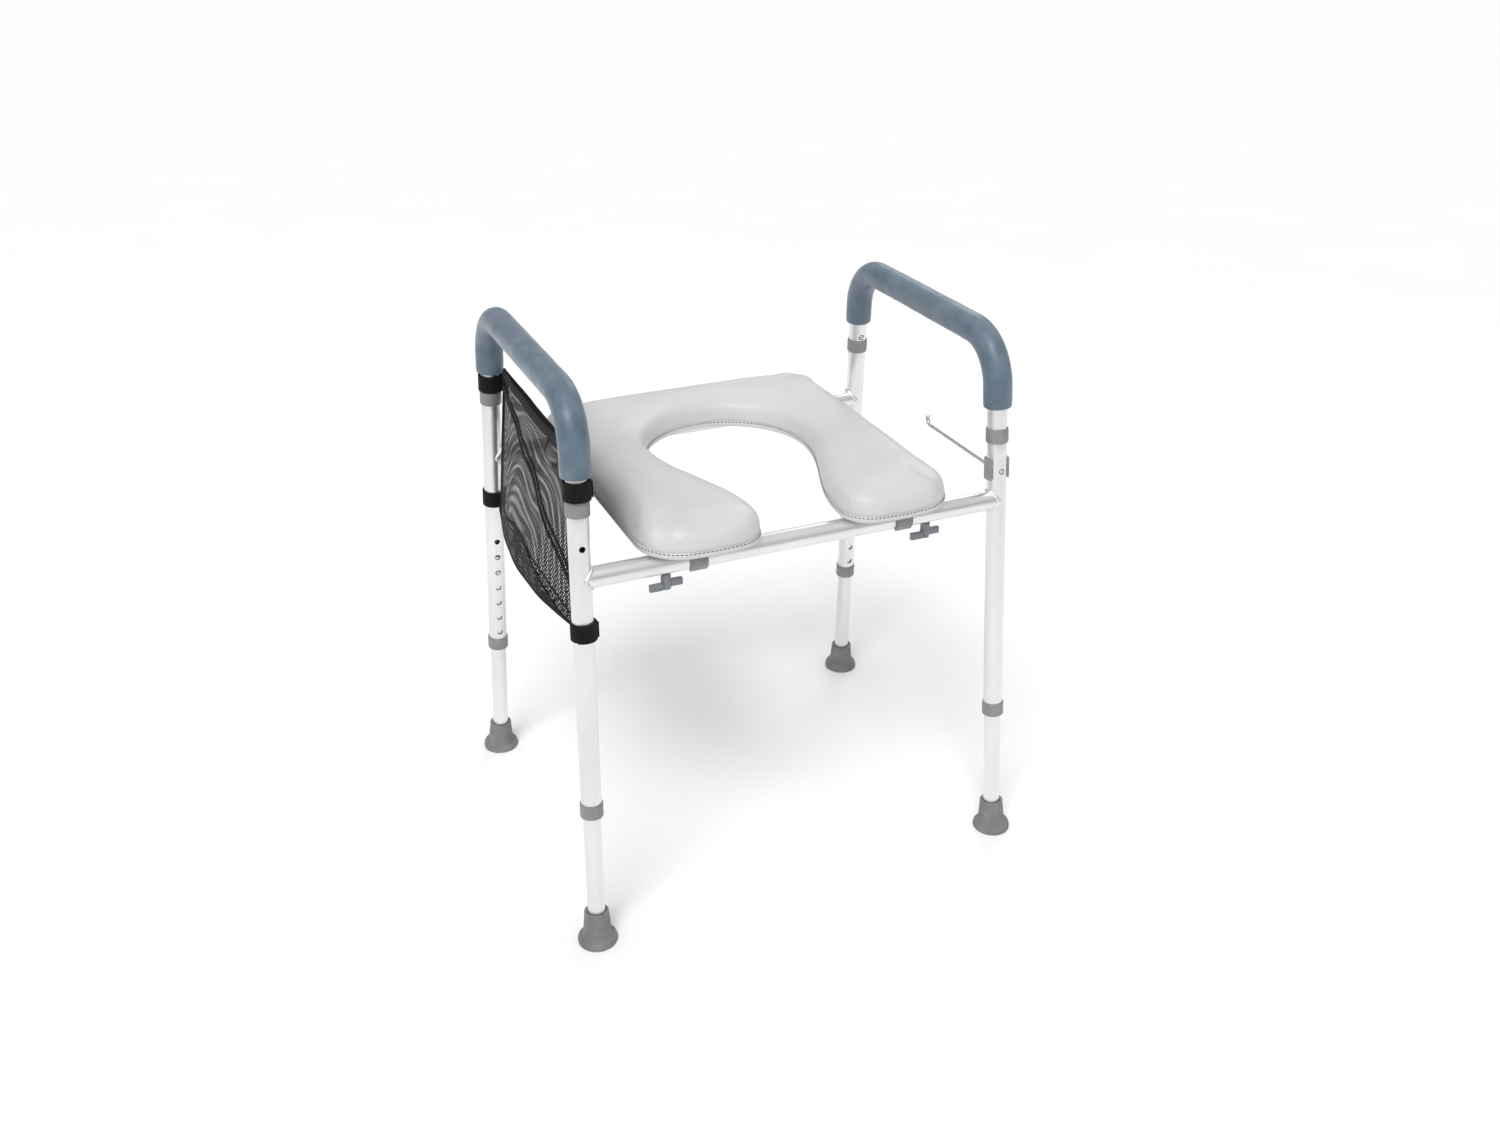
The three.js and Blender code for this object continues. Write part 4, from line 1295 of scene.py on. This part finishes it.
def tape(name, line, width, thick, matrix=None, rib=None):
    """A flat tape along points given with the direction out of their surface; rib widens it in places."""
    half, deep = width / 2, thick / 2
    edge = 0.45 * thick
    corners = [(-half, -deep, edge), (half, -deep, edge), (half, deep, edge), (-half, deep, edge)]
    section = filleted(corners, closed=True, steps=2)
    vertices = []
    for i, (point, out) in enumerate(line):
        ahead = (line[min(i + 1, len(line) - 1)][0] - line[max(i - 1, 0)][0]).normalized()
        across = ahead.cross(out).normalized()
        size = rib(i / (len(line) - 1)) if rib else 1
        vertices += [point + across * (p.x * size) + out * p.y for p in section]
    around = len(section)
    faces = ring_faces(len(line), around, closed=False)
    faces.append(tuple(range(around)))
    faces.append(tuple(range((len(line) - 1) * around, len(line) * around)))
    return add_mesh(name, vertices, faces, matrix, 50)


def surface_line(surface, route, count, push):
    """Points along a route of (a, b) pairs over a surface, smoothly joined."""
    smooth = []
    for i in range(count + 1):
        t = i / count * (len(route) - 1)
        k = min(int(t), len(route) - 2)
        around = [Vector(route[min(max(k + j, 0), len(route) - 1)]) for j in (-1, 0, 1, 2)]
        smooth.append(catmull(around, t - k))
    return [out_of(surface, p.x, p.y, push) for p in smooth]


def catmull(points, t):
    p0, p1, p2, p3 = points
    bend = 2 * p0 - 5 * p1 + 4 * p2 - p3
    return (2 * p1 + (p2 - p0) * t + bend * t * t + (3 * p1 - p0 - 3 * p2 + p3) * t**3) / 2


def boot_top(a):
    """How far up the front panel the doubled bottom reaches."""
    return 0.26 * max(math.cos(math.pi / 2 * (a - 0.09)), 0) ** 2.2


def elastic_share(a):
    """The elastic's height as a share of the front panel's."""
    return ELASTIC_HEIGHT / (bag_high(a) - bag_low(a))


def level_tape(name, surface, height, width, thick, push=0.0):
    """A tape from the front post to the rear one, at a height that varies along the panel."""
    line = [out_of(surface, a, height(a), push) for a in LEVEL]
    return tape(name, line, width, thick, LEFT)


def make_bag_trim():
    """Elastic mouth, hem, bindings and seams, each a tape sewn over the net's edges."""
    mouth = [out_of(front_panel, a, 1 - elastic_share(a) / 2, 0.2 * MM) for a in LEVEL]
    gathered = [
        (point + out * 0.35 * MM * math.sin(1.9 * i), out) for i, (point, out) in enumerate(mouth)
    ]
    hem_middle = 1 - HEM_HEIGHT / 2 / (BAG_TOP - BAG_BOTTOM)
    elastic = tape("bag_mouth_elastic", gathered, ELASTIC_HEIGHT, 1.8 * MM, LEFT)
    bound = [level_tape("bag_back_hem", back_panel, lambda a: hem_middle, HEM_HEIGHT, 1.5 * MM)]
    for end, a in (("front", -1), ("rear", 1)):
        rise = [out_of(back_panel, a, b, BAG_PLY / 2) for b in evenly(0, 1, 60)]
        bound.append(tape(f"bag_{end}_binding", rise, BINDING_WIDTH, 3.4 * MM, LEFT))
    bound += [
        level_tape("bag_bottom_piping", front_panel, lambda a: 0.0, 4.5 * MM, 2.4 * MM),
        level_tape("bag_back_piping", back_panel, lambda a: 0.0, 3.0 * MM, 2.2 * MM),
        level_tape("bag_boot_binding", front_panel, boot_top, 4.0 * MM, 1.2 * MM, 1.4 * MM),
    ]
    for name, side in (("upper", 1), ("lower", -1)):
        spread = [(a, b + side * (0.013 + 0.011 * (1 - a))) for a, b in SEAM_ROUTE]
        line = surface_line(front_panel, spread, 80, 0.9 * MM)
        bound.append(tape(f"bag_seam_{name}", line, 6.0 * MM, 1.3 * MM, LEFT))
    dart = surface_line(front_panel, DART_ROUTE, 24, 0.7 * MM)
    bound.append(tape("bag_dart", dart, 2.2 * MM, 0.9 * MM, LEFT, rib=lambda t: 1 - 0.75 * t))
    pieces = [(elastic, ELASTIC)] + [(piece, BINDING) for piece in bound]
    return [put(piece, look, "frame", "bag_mesh", "storage_bag") for piece, look in pieces]


def make_bag():
    straps = [
        f"{end}_left_{level}_strap" for level in ("upper", "lower") for end in ("front", "rear")
    ]
    trim = make_bag_trim()
    length, height = 2 * bag_half(0), BAG_TOP - BAG_BOTTOM

    def in_back(a, b):
        return abs(a) < 0.995 and 0 < b < 0.975

    def in_front(a, b):
        return abs(a) < 0.995 and 0 < b < 1 - 0.8 * elastic_share(a)

    def in_boot(a, b):
        return abs(a) < 0.97 and 0 < b < boot_top(a) - 0.004

    def in_floor(a, b):
        return abs(a) < 0.98 and 0 < b < 1

    back = net("bag_back_net", back_panel, in_back, NET_COLUMNS, 65)
    cloth(back, (length, height), straps)
    front = net("bag_front_net", front_panel, in_front, NET_COLUMNS, 64)
    cloth(front, (length, height), straps, trim)
    boot = net("bag_boot_net", front_panel, in_boot, BOOT_COLUMNS, 71, 0.56, 0.9 * MM)
    cloth(boot, (0.85 * length, 53 * MM), [front])
    floor = net("bag_bottom_net", bag_floor, in_floor, BOOT_COLUMNS, 8, 0.5)
    cloth(floor, (0.85 * length, 26 * MM), [front, back])


def bag_floor(a, b):
    """A point of the bottom, from the front panel's lower edge to the back panel's."""
    droop = Vector((0, 0, -2.5 * MM)) * math.sin(math.pi * min(max(b, 0), 1)) * (1 - a * a)
    return front_panel(a, 0).lerp(back_panel(a, 0), b) + droop


def make_strap(node):
    """Hook-and-loop tape: more than one turn round the post, its end lapped over its start."""
    place = node.rsplit("_", 2)[0]
    matrix = CORNERS[place]
    low, high = span(node, matrix)
    bore = min(point.xy.length for point in local_points(node, matrix))
    ply = (STRAP_R - bore - 0.3 * MM) / 2
    inboard = 1 if matrix.col[0].x > 0 else -1
    line = []
    for swept in evenly(0, STRAP_SWEEP, 230):
        lap = min(max((swept - LAP_FROM) / LAP_OVER, 0), 1)
        r = bore + ply / 2 + (ply + 0.15 * MM) * lap * lap * (3 - 2 * lap)
        turn = STRAP_START + swept
        out = Vector((inboard * math.cos(turn), math.sin(turn), 0))
        line.append((out * r + Vector((0, 0, (low + high) / 2)), out))
    strap = tape(node + "_tape", line, high - low, ply, matrix)
    fuzzy(strap, 1.1 * MM)
    put(strap, FUZZ, "frame", "strap_fabric", node)
    make_tab(node, place, matrix, inboard, (low + high) / 2)


def fuzzy(obj, cell):
    """Splits wide faces, then roughens the skin as matted loops do."""
    work = bmesh.new()
    work.from_mesh(obj.data)
    long = [edge for edge in work.edges if edge.calc_length() > 2 * cell]
    bmesh.ops.subdivide_edges(work, edges=long, cuts=18, use_grid_fill=True)
    work.to_mesh(obj.data)
    work.free()
    shade(obj, 180)
    jitter(obj, 0.28 * MM, cell, 5.0)
    jitter(obj, 0.25 * MM, 0.45 * cell, 9.0)


def make_tab(node, place, matrix, inboard, middle):
    """The strap's sewn end, a flat tab from the loop to the bag's edge."""
    share = (middle - BAG_BOTTOM) / (BAG_TOP - BAG_BOTTOM)
    rear = 1 if place.startswith("rear") else -1
    edge = matrix.inverted() @ (LEFT @ back_panel(rear * 0.97, share))
    start = Vector((inboard * (STRAP_R + 0.4 * MM), 5 * MM, middle))
    end = Vector((edge.x + inboard * 1.8 * MM, edge.y, middle))
    end += (end - start).normalized() * 6 * MM
    line = [(start.lerp(end, t), Vector((inboard, 0, 0))) for t in evenly(0, 1, 24)]
    tab = tape(node + "_tab", line, STRAP_HEIGHT - 2 * MM, 1.3 * MM, matrix)
    put(tab, BINDING, "frame", "strap_fabric", node)


make_bag()
for post in ("front_left", "rear_left"):
    for level in ("_upper_strap", "_lower_strap"):
        make_strap(post + level)


# ---------- camera, light and floor ----------
CAMERA_AT = Vector((-0.682, -1.584, 1.264))
CAMERA_YAW = math.radians(23.92)
CAMERA_PITCH = math.radians(27.45)
CAMERA_ROLL = math.radians(0.33)
LENS = 34.15
SUN_FROM = Vector((-0.75, -0.9, 1.55))
SUN_SPREAD = math.radians(28)
SUN_STRENGTH = 1.9
RIM_AT = Vector((1.3, 1.5, 1.7))
RIM_TOWARDS = Vector((0, 0, 0.4))
RIM_SIZE = 0.9
RIM_POWER = 6
WORLD_STRENGTH = 0.66
HORIZON = (0.34, 0.35, 0.36, 1)
FLOOR_REACH = 40


def make_camera():
    level = math.cos(CAMERA_PITCH)
    ahead = Vector(
        (math.sin(CAMERA_YAW) * level, math.cos(CAMERA_YAW) * level, -math.sin(CAMERA_PITCH))
    )
    right = Vector((math.cos(CAMERA_YAW), -math.sin(CAMERA_YAW), 0))
    up = right.cross(ahead)
    tilted = right * math.cos(CAMERA_ROLL) + up * math.sin(CAMERA_ROLL)
    turn = Matrix((tilted, tilted.cross(ahead), -ahead)).transposed().to_4x4()
    data = bpy.data.cameras.new("camera")
    data.lens, data.sensor_width = LENS, 36
    camera = bpy.data.objects.new("camera", data)
    camera.matrix_world = Matrix.Translation(CAMERA_AT) @ turn
    bpy.context.scene.collection.objects.link(camera)
    bpy.context.scene.camera = camera


def make_light(name, kind, at, towards, **settings):
    data = bpy.data.lights.new(name, kind)
    for key, value in settings.items():
        setattr(data, key, value)
    light = bpy.data.objects.new(name, data)
    light.location = at
    light.rotation_mode = "QUATERNION"
    light.rotation_quaternion = (towards - at).to_track_quat("-Z", "Y")
    bpy.context.scene.collection.objects.link(light)


def make_world():
    """A pale studio, bright overhead and darker near the horizon, so that round metal shows its shape."""
    world = bpy.data.worlds.new("studio")
    bpy.context.scene.world = world
    world.use_nodes = True
    tree = world.node_tree
    background = tree.nodes["Background"]
    where = tree.nodes.new("ShaderNodeTexCoord")
    split = tree.nodes.new("ShaderNodeSeparateXYZ")
    ramp = tree.nodes.new("ShaderNodeValToRGB")
    tree.links.new(where.outputs["Generated"], split.inputs["Vector"])
    tree.links.new(split.outputs["Z"], ramp.inputs["Fac"])
    tree.links.new(ramp.outputs["Color"], background.inputs["Color"])
    low, high = ramp.color_ramp.elements
    low.position, low.color = 0.02, HORIZON
    high.position, high.color = 0.55, (1, 1, 1, 1)
    background.inputs["Strength"].default_value = WORLD_STRENGTH


def make_floor():
    across = (-FLOOR_REACH, FLOOR_REACH)
    floor = block("floor", across, across, (-0.02, 0))
    look = Look("floor_pale", (0.93, 0.93, 0.93), 0.7)
    look.color(look.noise(3, 3), (0.925, 0.925, 0.925), (0.94, 0.94, 0.94))
    floor.data.materials.append(look.material)


make_camera()
make_world()
make_floor()
make_light("key", "SUN", SUN_FROM, Vector(), angle=SUN_SPREAD, energy=SUN_STRENGTH)
make_light("rim", "AREA", RIM_AT, RIM_TOWARDS, shape="DISK", size=RIM_SIZE, energy=RIM_POWER)
bpy.context.scene.view_settings.view_transform = "Standard"
